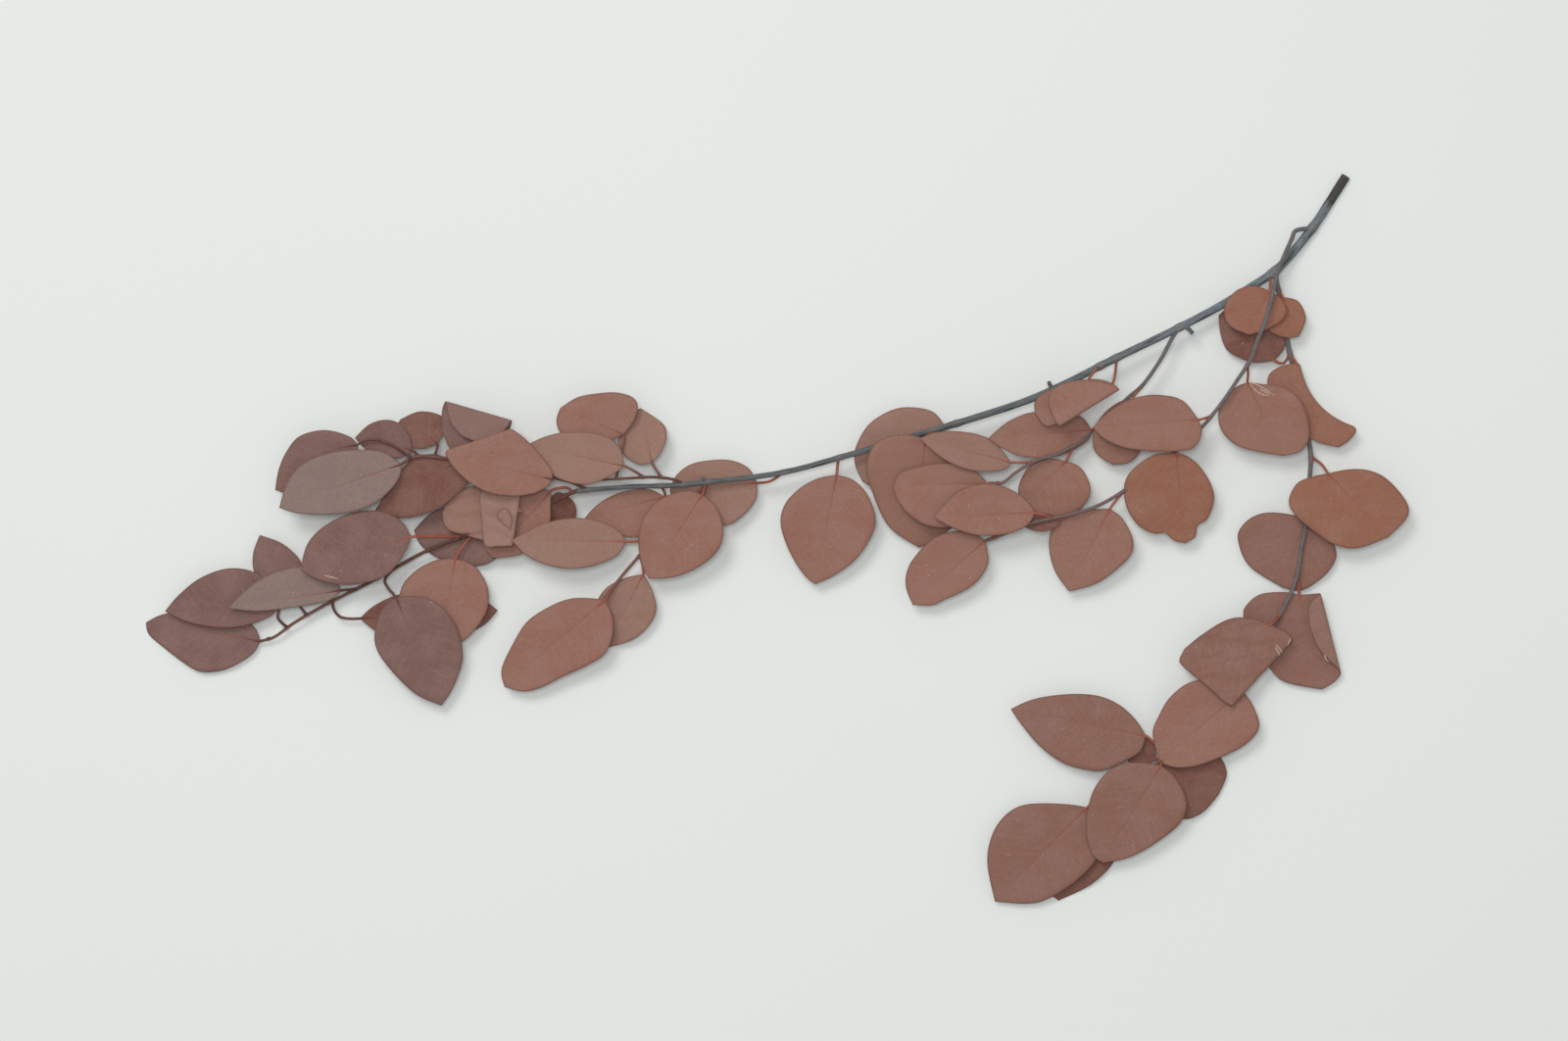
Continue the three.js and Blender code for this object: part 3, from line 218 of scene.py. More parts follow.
# The deep_and_shaded tone goes to leaves that lie under others. It holds their own darker colour and also
# painted shade from the leaves above them.
# Leaves of the shoots. cup and roll curve a blade across, bow bends its midrib, and a fold turns the part
# left of its line over (1) or under (-1) the rest; sag bows the fold line to its left. crumple deepens the
# dents, fibres are torn threads on the blade, and ribbed says if a midrib shows.
SHOOT_LEAVES = {
    "right_shoot": [
        new_leaf("warm", (9.8, 10.2), 4, [(257, 126, 7.1)], [
            (258.5, 123), (266, 121), (270, 113.5), (269, 108), (266.5, 103), (260, 102.5), (251.5, 106),
            (249, 115), (252.5, 121),
        ]),
        new_leaf("deep_and_shaded", (6, 5), 5, [(262.6, 94, 6), (259, 89.5)], [
            (254.5, 91), (245, 90), (236.5, 92.5), (230, 97), (227, 106), (226.5, 114), (232, 117),
            (245, 112), (257, 106.5), (260, 98.5),
        ]),
        new_leaf("warm", (9, 8.5), 7, [(262.8, 94, 6)], [
            (265.5, 89.5), (258, 88), (252, 84), (251, 78), (255, 68), (264, 57), (275, 50), (287, 46.8),
            (292.5, 50.5), (296, 56), (292.5, 62), (284, 71.5), (276, 80), (270, 88.5),
        ], fold=dict(start=(266.4, 87.5), end=(293.8, 56.3), over=-1, sag=-6), ribbed=False),
        new_leaf("warm", (15, 14), 8, [(273, 42, 8), (278, 38)], [
            (281, 33.3), (273, 31.7), (265, 28), (261, 19.5), (264, 12.5), (273.5, 4.5), (284, -2.5),
            (296, -4.5), (311.5, 1), (320, 9.5), (322, 15.5), (318, 23), (310, 31), (301, 35), (291, 35.3),
        ]),
        new_leaf("ruddy", (6, 3), 6, [(271, 20, 8)], [
            (271, 11), (255, 13.5), (245, 12), (238, 6.5), (236.3, -0.5), (242, -13.5), (259, -24.5),
            (268.5, -26), (278.5, -20), (284.5, -13), (286, -6), (281, 4),
        ]),
        new_leaf("ruddy", (5, 4), 8, [(266.3, -18, 8)], [
            (267.5, -28.5), (260, -27), (248, -28), (241, -33), (238.5, -39.5), (243.5, -52), (252, -65),
            (260, -72.5), (279, -76.5), (286.5, -71.5), (290.5, -64), (294, -50), (291, -35), (284, -28),
        ], fold=dict(start=(276.5, -28), end=(287.3, -70), over=1), fibres=[
            [(293, -55.2), (293.4, -57.6), (292.8, -59.6)],
        ]),
        new_leaf("ruddy", (13, 14), 6, [(257, -39, 8)], [
            (252, -43.5), (245, -41), (235, -39.7), (226.5, -42.5), (215, -50), (207.5, -56.5),
            (205.5, -62), (209, -66), (218, -73), (231, -84), (244, -84.5), (257, -75), (265, -61),
            (262.5, -49.5),
        ], fold=dict(start=(262.5, -50), end=(231.5, -83.5), over=-1), ribbed=False, crumple=2, fibres=[
            [(254, -54.5), (256, -57.5), (257.2, -60.3)],
            [(254.6, -53.2), (257.5, -57), (258.5, -60)],
            [(262, -50.4), (260.5, -54)],
        ]),
        new_leaf("plain", (10, 9), 6, [(236, -69, 7.2)], [
            (238, -77), (226, -71.5), (212, -72.5), (201.5, -80), (195.5, -90), (192.5, -99),
            (196, -113.5), (204, -116), (215, -115), (228.5, -110), (238.5, -105), (245, -98.5),
            (246.3, -93), (243, -84),
        ]),
        new_leaf("ruddy", (8.5, 6), 6, [(199, -110, 7)], [
            (189, -100), (183.5, -91.5), (175, -84), (163.5, -79.5), (148, -79), (132, -81.5),
            (120.5, -86.5), (126.5, -95), (135, -105), (146.5, -113.5), (158, -117), (167, -117.5),
            (177, -113.5), (186, -108),
        ]),
        new_leaf("deep_and_shaded", (5, 3), 4, [(195, -113, 7)], [
            (197, -114), (211, -109.5), (225, -109.5), (230.5, -119), (226.5, -130), (219, -138.5),
            (210, -142.5), (203, -140), (197, -128),
        ]),
        new_leaf("ruddy", (12, 9), 6, [(197, -112, 7)], [
            (196.3, -115), (203.5, -121), (209, -132), (207.5, -142), (198.5, -151), (182, -161),
            (167, -164.5), (162, -160.5), (159, -152), (159, -140), (162, -128), (168.5, -119),
            (177, -114), (187, -113.5),
        ]),
        new_leaf("ruddy", (7, 4), 7, [(164, -133.5, 6)], [
            (159.2, -136.5), (150, -135), (134, -134.5), (123.5, -136.5), (115, -143.5), (110, -153.5),
            (108.7, -166), (112.5, -184.5), (127, -185.5), (137, -184), (150, -176.5), (161.5, -166),
            (165, -158), (164, -148),
        ]),
        new_leaf("deep_and_shaded", (4.2, 0.4), 4, [(168, -131, 6.2)], [
            (161, -138), (171.5, -151.5), (173.5, -163), (162, -175.5), (145, -184.3), (136, -175),
            (136.5, -156), (147, -142),
        ]),
        new_leaf("deep_and_shaded", (4.5, 3.5), 4, [(197, -112, 7)], [
            (194.5, -112), (193, -103.5), (188, -100.5), (181, -103), (176.5, -108), (181, -113.5),
            (189, -115),
        ]),
    ],
    "middle_shoot": [
        new_leaf("plain", (17, 14), 7, [(239.5, 88, 22), (240, 83)], [
            (240, 79.5), (234, 77), (227.5, 71), (225, 62.5), (227.5, 54), (235, 47.5), (245, 44.5),
            (258.5, 42.3), (267.5, 45), (271.5, 52), (270, 63.5), (265, 72.5), (257, 77.5), (248, 78.5),
        ], fibres=[
            [(240.8, 79.2), (245, 78.2), (249.5, 75.6), (254, 72.6)],
            [(241, 79), (243, 76.5), (247, 73.5), (251, 72.8)],
            [(246, 76.5), (249, 74.6), (251.5, 73.2)],
        ]),
        new_leaf("plain", (19.5, 19.5), 6, [(221, 62, 20)], [
            (215, 60.5), (207, 70), (197, 72.8), (187, 72.5), (176.5, 69), (167, 62.5), (161.5, 56.5),
            (167, 51), (177, 46.5), (190, 44.8), (203, 44.5), (212.5, 46.5), (216.5, 54),
        ]),
        new_leaf("warm", (16, 10), 10, [(208, 48.8, 15.3)], [
            (204, 43.8), (193.5, 43), (185, 38), (179, 31.5), (177.5, 24), (179.5, 15), (185, 7), (193, 3),
            (198.5, 3.3), (203, -0.5), (209, -2), (214, 1.5), (215, 7), (220, 10.5), (223.3, 20),
            (221.5, 28), (216.5, 36), (210.5, 41.5),
        ]),
        new_leaf("plain", (14, 9), 6, [(177.5, 24.5, 14), (173, 19)], [
            (170.5, 15.5), (177, 10), (182, 0), (181, -8), (173.5, -15.5), (163.5, -22.5), (150, -26.5),
            (143.5, -17.5), (140.3, -8.5), (140, 1.5), (143.5, 10), (150, 14), (160, 15),
        ]),
        new_leaf("plain", (19.5, 20), 6, [(141, 10.8, 18)], [
            (132, 13.3), (128, 19.5), (120, 25), (110, 28), (100, 27), (91, 22.5), (80.7, 11.2), (87, 7.5),
            (97, 3.5), (107, 1.8), (120, 3.3), (128.5, 7.5),
        ]),
        new_leaf("deep_and_shaded", (15.5, 13.5), 3, [(151, 12.7, 18)], [
            (146, 10.5), (138, 13), (129, 11.5), (124.5, 8), (130, 5), (137, 4), (143.5, 6.5),
        ]),
        new_leaf("plain", (13.2, 9), 7, [(112, 1, 14.4)], [
            (107, -0.8), (102, 2.5), (92, 4), (82, 1), (73.5, -6.5), (68, -15), (67, -24), (70.5, -33.3),
            (80, -33.5), (87, -30.5), (98.5, -25), (105, -19), (108.7, -11),
        ]),
    ],
    "inner_shoot": [
        new_leaf("plain", (13.5, 9.5), 5, [(186, 77, 12)], [
            (182, 71.5), (174, 69), (166, 62), (162, 53), (163.5, 44), (172, 38), (180, 39), (186, 45),
            (188, 56), (186.5, 66),
        ]),
        new_leaf("plain", (12, 21), 6, [(166, 59, 9.3)], [
            (161, 55.5), (156, 62), (145, 65), (133.5, 64.5), (126, 63), (117, 58.5), (108.3, 51),
            (115, 46.3), (123.5, 42.5), (133.5, 41.2), (145, 42.5), (154, 46.5), (160, 51),
        ]),
        new_leaf("plain", (15, 8.5), 5, [(152, 47.6, 16.3)], [
            (148, 39.5), (140, 40.8), (131.5, 38.3), (126.5, 32.5), (124.2, 25), (126, 16.5), (134, 11.3),
            (144, 11), (153, 13.5), (159, 20), (160.3, 26.5), (157.5, 33.5), (153.5, 37.5),
        ], cup=0.4),
        new_leaf("dusty", (17, 23), 5, [(130.5, 38.8, 18.3)], [
            (120, 39), (112, 49), (103, 53), (93, 54.5), (82, 54), (73.7, 51), (80, 45), (88.5, 39),
            (98.5, 35.3), (108.5, 34.2), (117.5, 35.8),
        ]),
        new_leaf("plain", (16.5, 16.5), 5, [(114, 28.4, 16.6)], [
            (108.3, 28.3), (100, 36), (88, 38.5), (75, 37), (64, 33.5), (60.3, 27), (62.5, 20),
            (68.5, 12.5), (78, 7), (90, 6.5), (100, 12), (107, 20),
        ], cup=0.3, roll=-1.5),
    ],
    "lower_shoot": [
        new_leaf("plain", (17.5, 15), 7, [(-35, 27, 14.6)], [
            (-36.5, 22.5), (-30, 17), (-26, 7), (-26.7, -2), (-32, -9.5), (-42, -16), (-52, -19.3),
            (-63.5, -20), (-67.5, -11.5), (-68.7, 0), (-66.5, 10), (-60, 18.5), (-51.5, 23), (-43, 24.5),
        ]),
        new_leaf("dusty", (13, 19), 6, [(-61, 0, 11), (-68, -1)], [
            (-75.3, -1.2), (-78.5, 4), (-86.5, 8.3), (-96.5, 10.5), (-108.5, 10), (-120, 6.5),
            (-133, -0.5), (-125, -8.5), (-115, -13), (-103.5, -15), (-91.5, -13.3), (-80, -8.3),
        ]),
        new_leaf("dusty", (10, 4), 5, [(-68, -8, 11)], [
            (-66.5, -17.8), (-62.5, -25), (-60, -35), (-63.5, -43.5), (-72, -51), (-85.5, -55.3),
            (-90, -46), (-91, -35), (-86, -25.5), (-76.5, -20),
        ]),
        new_leaf("plain", (12.6, 9), 7, [(-83, -26, 12.2)], [
            (-86, -31), (-93.5, -30), (-103.5, -30.3), (-113.5, -34), (-125, -41.5), (-132, -52),
            (-138.5, -66), (-137, -75), (-128, -77.3), (-119, -75.5), (-108, -70), (-95, -64), (-86, -58),
            (-82, -48), (-82.5, -38),
        ]),
    ],
    "upper_shoot": [
        new_leaf("dusty", (20.5, 18.5), 6, [(-66, 31.2, 18.4), (-70, 34)], [
            (-75.8, 37), (-78, 46), (-84, 51.5), (-95, 54), (-107, 54), (-117, 51.5), (-126, 47.2),
            (-117, 36), (-107, 30), (-95, 27.8), (-84, 31.5),
        ]),
        new_leaf("plain", (15, 14), 5, [(-80, 30.6, 18), (-78, 42)], [
            (-76.5, 53), (-91, 48), (-103, 49.5), (-109, 55), (-110.3, 61), (-108.5, 66.5), (-100, 71.8),
            (-90, 73.8), (-80, 74.3), (-72, 72), (-69.2, 67.5), (-71, 60.5),
        ]),
        new_leaf("dusty", (13.5, 9), 4, [(-57, 31, 18)], [
            (-62, 38.8), (-57.5, 44), (-54.8, 51.5), (-56.5, 58.5), (-68, 66.5), (-75, 62), (-79, 50),
            (-76, 42.5), (-68.5, 38),
        ]),
    ],
    "left_upper_shoot": [
        new_leaf("plain", (22, 27), 7, [(-114, 32.1, 16.1)], [
            (-112.3, 30.3), (-115, 26.5), (-122, 23), (-132, 22), (-143.5, 23.5), (-153.5, 28.5),
            (-161.5, 36), (-166, 43), (-163, 51), (-152, 57), (-140, 59.5), (-131.5, 55), (-124, 49),
            (-116, 40), (-112.3, 34.3),
        ], fold=dict(start=(-166, 43), end=(-132, 54.5), over=-1)),
        new_leaf("mauve", (16.5, 16), 6, [(-152, 39.8, 16.7)], [
            (-155.5, 37), (-162, 42), (-167, 52), (-168.5, 62), (-166.5, 70), (-158, 79), (-148, 82),
            (-140, 79.5), (-135, 73.5), (-132.5, 66), (-134, 56), (-140, 46), (-148, 39),
        ], fold=dict(start=(-168, 68.7), end=(-135.5, 59.3), over=1)),
        new_leaf("deep_and_shaded", (15.5, 11), 5, [(-156, 40.2, 16.8)], [
            (-161.5, 39), (-172, 43), (-183, 41), (-191.5, 32.5), (-198, 22), (-203, 14), (-193, 11.2),
            (-183, 11.3), (-170, 16), (-161.5, 22.5), (-156, 28), (-156.5, 34.5),
        ]),
        new_leaf("deep_and_shaded", (13, 9.5), 4, [(-172, 41.8, 17)], [
            (-171, 48.5), (-167, 56), (-169, 62.5), (-180, 64.8), (-190, 60.8), (-193, 54), (-188, 48),
            (-179, 46),
        ]),
        new_leaf("mauve", (13, 10), 5, [(-180, 41.8, 17)], [
            (-183.7, 45), (-185.5, 53), (-191, 59), (-198, 60.5), (-206, 58), (-213, 51.5), (-207, 45.5),
            (-196, 41.5), (-188, 42),
        ]),
        new_leaf("mauve", (13.5, 10), 7, [
            (-184, 41.3, 17), (-190, 45.5), (-195, 48.5), (-201, 50.5), (-208, 50),
        ], [
            (-211.5, 48), (-215, 51.7), (-223.5, 54.7), (-232, 55), (-242, 51.5), (-248.5, 43), (-252, 34),
            (-253.5, 25), (-243, 22), (-230, 22.5), (-217, 30), (-211, 40),
        ], bow=-4),
        new_leaf("grey", (18, 19.5), 6, [(-184, 41.2, 17.2)], [
            (-189, 38), (-198, 44), (-210, 45.3), (-223.5, 44), (-237, 39), (-246, 30), (-250.5, 16),
            (-242, 13.3), (-227, 12.5), (-213.5, 14), (-202, 18.5), (-193.5, 26), (-189.5, 32.5),
        ]),
    ],
    "left_lower_shoot": [
        new_leaf("plain", (13.5, 10), 5, [(-102, 23.8, 16), (-105, 26), (-109, 26)], [
            (-113.3, 24.5), (-113.5, 17), (-114, 8), (-119, -2), (-130, -8), (-143, -9.5), (-148, -2),
            (-146, 10), (-138, 20), (-126, 26),
        ], stalk_tone="red"),
        new_leaf("dusty", (10.5, 19), 10, [(-160, 0.6, 8.1)], [
            (-158, 2.5), (-165.8, 5), (-168.7, 12.5), (-165.5, 20), (-157, 26), (-147, 27), (-137, 26.5),
            (-128, 24.5), (-118, 23.5), (-107.5, 18), (-111.3, 5.6), (-117, -7.2), (-123.5, -6),
            (-133, -3), (-146, -1),
        ], fold=dict(start=(-130, 24), end=(-133.5, 0), over=1), crumple=3),
        new_leaf("deep_and_shaded", (9, 4), 4, [(-106, 22, 14)], [
            (-106, 23), (-101.5, 18), (-101, 12), (-104, 8), (-110, 6), (-115, 10), (-115, 18),
            (-111, 23.5),
        ]),
        new_leaf("mauve", (5.5, 3), 4, [(-141, 7.6, 8.9)], [
            (-143, 6), (-150, 16), (-163, 17.5), (-175, 13), (-183.5, 4.5), (-180, -3), (-170, -10),
            (-156, -13.5), (-145, -12), (-139, -5),
        ]),
        new_leaf("plain", (10, 8), 6, [(-152, 3.3, 8.4), (-157, -2)], [
            (-162, -10), (-172, -10.8), (-182, -16), (-189, -24), (-190, -34), (-184, -45), (-170, -55),
            (-162, -54), (-153, -47), (-146.5, -37), (-145.2, -28), (-147.5, -20), (-153.5, -13),
        ], stalk_tone="red"),
        new_leaf("mauve", (13, 9), 6, [(-195, -16, 7.8), (-198, -21), (-196, -25)], [
            (-192, -29.6), (-198.5, -35), (-202, -43.5), (-202.5, -53.5), (-197, -63.5), (-183, -78),
            (-169.3, -84.5), (-165, -78.5), (-161, -70), (-158.3, -60), (-160, -48.5), (-165, -38.5),
            (-174, -31), (-183.5, -29),
        ]),
        new_leaf("deep_and_shaded", (5, 3), 5, [(-225, -31.5, 7), (-224, -36), (-221, -39.5), (-216, -40.5)], [
            (-211, -40.4), (-203, -33.5), (-190, -28), (-170, -26), (-152, -29), (-141, -36.2),
            (-150, -45), (-170, -52), (-190, -52), (-203, -46.5),
        ]),
        new_leaf("mauve", (15.5, 17), 7, [(-158, 1.4, 8.2), (-168, 1.4), (-175, 1.5)], [
            (-184, 1.2), (-188.5, 8.5), (-196.5, 13.3), (-207, 14.5), (-218.5, 11.7), (-230, 5),
            (-237, -3.5), (-240, -15.8), (-230, -20.8), (-219, -23), (-207, -22), (-197, -18.5),
            (-191.5, -13), (-186.5, -5),
        ], stalk_tone="red", fibres=[
            [(-228, -18.3), (-224.5, -19.2), (-221, -20)],
        ]),
        new_leaf("grey", (10, 12), 5, [(-213, -25.5, 7)], [
            (-220, -26), (-226, -31), (-237, -33.5), (-252, -35.5), (-264, -36.5), (-277.5, -35),
            (-268.5, -26), (-258.5, -19), (-247, -15), (-236, -14), (-226, -17),
        ]),
        new_leaf("mauve", (7, 4.5), 5, [(-238, -38.6, 6.4)], [
            (-245.5, -28.5), (-240, -18.5), (-241, -11.5), (-245, -6.5), (-252, -1.5), (-262, 2),
            (-265, -6.5), (-265, -15), (-261.5, -22.5), (-253.5, -28.3),
        ]),
        new_leaf("mauve", (8.5, 6), 6, [(-248, -45, 5.8), (-252.5, -40)], [
            (-252, -35), (-257, -39.5), (-268.5, -43.7), (-280, -45), (-292, -43.7), (-302, -40.7),
            (-310, -36.7), (-303.5, -29), (-293.5, -20.8), (-282, -15.8), (-272, -15), (-262, -18),
            (-254, -26),
        ]),
        new_leaf("mauve", (4, 0.4), 8, [(-257, -50.6, 4.6)], [
            (-262, -52), (-265.5, -58), (-273.5, -63.5), (-282, -67), (-292, -67.5), (-300, -63.5),
            (-311.5, -55), (-319, -48.5), (-320.4, -42.5), (-312, -38.5), (-298, -36), (-282, -36.5),
            (-270, -41), (-264, -46),
        ]),
    ],
}

# Torn shreds that stand up from the crumpled leaf of one shoot: a curl and a jagged tip
SHREDDED_SHOOT = "left_lower_shoot"
SHREDS = [
    new_leaf("dusty", (18.6, 20.4), 2, [], [
        (-133.6, 4.5), (-132.8, 10), (-134.8, 15), (-137.6, 15.6), (-140.4, 12), (-137.4, 8),
    ], cup=-1.2, ribbed=False),
    new_leaf("plain", (18, 17.4), 3, [], [
        (-133.6, 16), (-132.4, 18.6), (-129.6, 16.8), (-127.6, 13.8), (-130.2, 13.2), (-131.4, 10.6),
    ], cup=0, ribbed=False),
]

# Leaves that grow straight from the main stem
STEM_LEAVES = [
    new_leaf("warm", (12.5, 14), 5, [(253, 135, 7)], [
        (251.5, 126), (243.5, 128.5), (234.5, 126), (228.5, 117.5), (231, 108.5), (241, 103.7),
        (250, 106.5), (258, 111.5), (260, 117), (257, 122.5),
    ]),
    new_leaf("plain", (27, 30), 7, [(165, 88, 14.2)], [
        (159, 80.8), (148, 79.4), (141, 76), (138.6, 70.5), (140, 64), (143, 58), (150, 52), (163, 50),
        (173, 58), (176.5, 69), (173, 77), (167, 79),
    ], fold=dict(start=(173.5, 76.8), end=(143.3, 58.3), over=-1), ribbed=False),
    new_leaf("plain", (21, 20.5), 5, [(174, 92.4, 13.8), (172, 80)], [
        (168, 72), (158, 76), (146, 76), (137, 74.5), (132, 69.5), (132.3, 63.5), (137, 57.5), (143, 58.5),
        (152, 64), (161, 69.3),
    ]),
    new_leaf("dusty", (9.5, 6), 7, [(93, 58.6, 15.5)], [
        (87, 57.5), (80, 65), (67, 67), (57, 64.3), (47.5, 57.5), (41.5, 46.5), (41.3, 38), (45, 29.5),
        (52, 27), (64, 32), (78, 44),
    ]),
    new_leaf("plain", (19, 4), 7, [(81, 55.2, 15.2)], [
        (76.5, 51), (66, 53), (57, 51.5), (50, 47), (47, 38), (48.5, 28), (58, 7), (74, -4.2), (84, 1),
        (96, 12), (102, 26), (97, 39.5), (87, 47),
    ], cup=0, roll=-1.5),
    new_leaf("plain", (15, 9), 8, [(32.5, 41, 14.6)], [
        (31.7, 32.6), (23, 31), (14, 26.5), (6, 18.5), (3.3, 9), (6, -2), (11, -12), (16.5, -19.5),
        (21, -22.7), (31, -18), (42, -9.5), (50, 3), (51.2, 12), (47, 23), (40, 30),
    ]),
    new_leaf("dusty", (9.5, 8), 6, [(5, 34, 14.6), (-2, 29.5)], [
        (-8.8, 28.5), (-13, 36), (-22, 40), (-33, 40), (-43, 37.7), (-50, 32), (-53, 25), (-50, 16),
        (-39, 8.5), (-25, 7), (-16.5, 11.5), (-9.5, 20),
    ]),
    new_leaf("plain", (11, 8), 5, [(-57, 27.4, 15.8)], [
        (-55.5, 21.5), (-63.5, 25.3), (-73.5, 24.8), (-83.5, 21.5), (-91.5, 16), (-97, 9.8), (-90, 6),
        (-80, 2.5), (-70, 1), (-60, 5), (-54.5, 13),
    ]),
]


def smooth_curve(points, power, mirrored):
    """Dense points on a smooth curve through the given ones; power 0 is uniform, 0.5 centripetal."""
    points = np.asarray(points, float)
    first = 2 * points[0] - points[1] if mirrored else points[0]
    last = 2 * points[-1] - points[-2] if mirrored else points[-1]
    padded = np.vstack([first, points, last])
    share = np.linspace(0, 1, CURVE_STEPS, endpoint=False)[:, None]
    pieces = []
    for p0, p1, p2, p3 in zip(padded, padded[1:], padded[2:], padded[3:]):
        d0, d1, d2 = (max(np.linalg.norm(step), 1e-6) ** power for step in (p1 - p0, p2 - p1, p3 - p2))
        leave = d1 * ((p1 - p0) / d0 - (p2 - p0) / (d0 + d1) + (p2 - p1) / d1)
        arrive = d1 * ((p2 - p1) / d1 - (p3 - p1) / (d1 + d2) + (p3 - p2) / d2)
        start = p1 * (1 + 2 * share) + leave * share
        end = p2 * (3 - 2 * share) - arrive * (1 - share)
        pieces.append(start * (1 - share) ** 2 + end * share ** 2)
    return np.vstack([*pieces, points[-1:]])


def reach_along(curve):
    """How far along the curve each of its points lies."""
    return np.concatenate([[0.0], np.cumsum(np.linalg.norm(np.diff(curve, axis=0), axis=1))])


def spaced(curve, count):
    """The given number of points at equal distances along the curve."""
    reach = reach_along(curve)
    wanted = np.linspace(0, reach[-1], count)
    return np.stack([np.interp(wanted, reach, column) for column in curve.T], axis=1)


def unit(vectors):
    return vectors / np.maximum(np.linalg.norm(vectors, axis=-1, keepdims=True), 1e-9)


class Blade:
    """One leaf: its flat plan in millimetres, and the curved and folded surface that it takes."""

    def __init__(self, leaf, number):
        self.leaf = leaf
        self.rim = np.array(leaf["rim"], float)
        self.base = self.rim[0]
        self.tip = self.rim[leaf["tip"]]
        self.length = np.linalg.norm(self.tip - self.base)
        self.along = (self.tip - self.base) / self.length
        self.left = np.array((-self.along[1], self.along[0]))
        self.half = np.abs((self.rim - self.base) @ self.left).max()
        self.bow = leaf.get("bow", 0.0)
        self.ribbed = leaf.get("ribbed", True)
        self.phase = (number * GOLDEN_STEP) % 1
        if "fold" in leaf:
            self.crease_start, end = (np.array(leaf["fold"][key], float) for key in ("start", "end"))
            self.crease_length = np.linalg.norm(end - self.crease_start)
            self.run = (end - self.crease_start) / self.crease_length
            self.flap = np.array((-self.run[1], self.run[0]))
        first = smooth_curve(self.rim[:leaf["tip"] + 1], 0, False)
        second = smooth_curve([*self.rim[leaf["tip"]:], self.base], 0, False)
        first_is_left = (first[len(first) // 2] - self.base) @ self.left > 0
        self.left_side, self.right_side = (first, second[::-1]) if first_is_left else (second[::-1], first)
        self.outline = np.vstack([
            spaced(self.right_side, OUTLINE_POINTS // 2)[:-1],
            spaced(self.left_side, OUTLINE_POINTS // 2)[:0:-1],
        ])

    def share_and_across(self, plan):
        """How far plan points lie from base to tip, as a share, and to the left, in millimetres."""
        place = plan - self.base
        return place @ self.along / self.length, place @ self.left

    def midrib(self, share):
        """Plan points on the midrib."""
        share = np.asarray(share)[..., None]
        return self.base + self.along * self.length * share + self.left * self.bow * 4 * share * (1 - share)

    def height(self, plan):
        share, aside = self.share_and_across(plan)
        share = np.clip(share, 0, 1)
        across = np.clip(aside / self.half, -1, 1)
        turn = 2 * math.pi * (RIPPLE_TURNS * share + self.phase) + RIPPLE_LEAN * across
        rim = across ** 2 * (self.leaf.get("cup", CUP) + RIPPLE * np.sin(turn))
        keel = KEEL * (np.abs(across) - across ** 2) * np.sin(math.pi * share)
        low, high = self.leaf["heights"]
        return low + (high - low) * share + rim + keel + self.leaf.get("roll", 0.0) * across

    def uneven(self, plan):
        """The slight dents and swellings of a dried blade."""
        x, y = plan.T
        broad = np.sin(0.23 * x + 0.41 * y + 7 * self.phase) * np.sin(0.19 * x - 0.27 * y + 11 * self.phase)
        close = np.sin(0.71 * x - 0.43 * y + 13 * self.phase) * np.sin(0.37 * x + 0.83 * y + 5 * self.phase)
        return (BROAD_DENT * broad + CLOSE_DENT * close) * (1 + self.leaf.get("crumple", 0))

    def sag(self, along):
        """How far the fold line bows to its left, this far along it."""
        share = np.clip(along / self.crease_length, 0, 1)
        return self.leaf["fold"].get("sag", 0.0) * 4 * share * (1 - share)

    def off_crease(self, plan):
        """How far plan points lie along the fold line and on its flap side."""
        along = (plan - self.crease_start) @ self.run
        return along, (plan - self.crease_start) @ self.flap - self.sag(along)

    def by_crease(self, along, side):
        """The plan points at such places."""
        return self.crease_start + np.outer(along, self.run) + np.outer(side + self.sag(along), self.flap)

    def folded(self, plan):
        """Where flat plan points come to lie once the flap is turned, and how far the fold lifts them."""
        along, side = self.off_crease(plan)
        bend = FOLD_RADIUS * FOLD_ANGLE
        arc = np.clip(side, 0, bend) / FOLD_RADIUS
        beyond = np.maximum(side - bend, 0)
        turned = np.minimum(side, 0) + FOLD_RADIUS * np.sin(arc) + beyond * math.cos(FOLD_ANGLE)
        lift = FOLD_RADIUS * (1 - np.cos(arc)) + beyond * math.sin(FOLD_ANGLE)
        return self.by_crease(along, turned), self.leaf["fold"]["over"] * lift

    def place(self, plan):
        """Where flat plan points lie on the middle surface of the real, bent blade."""
        lift = self.uneven(plan)
        if "fold" in self.leaf:
            plan, fold_lift = self.folded(plan)
            lift = lift + fold_lift
        return np.column_stack([plan, self.height(plan) + lift])

    def normal(self, plan):
        """The upper face's normals at flat plan points."""
        aside = self.place(plan + (SLOPE_STEP, 0)) - self.place(plan - (SLOPE_STEP, 0))
        ahead = self.place(plan + (0, SLOPE_STEP)) - self.place(plan - (0, SLOPE_STEP))
        return unit(np.cross(aside, ahead))

    def rim_distance(self, plan):
        gaps = np.linalg.norm(plan[:, None, :] - self.outline[None, :, :], axis=2)
        return gaps.min(axis=1)

    def rows(self):
        return self.fold_rows() if "fold" in self.leaf else self.plain_rows()

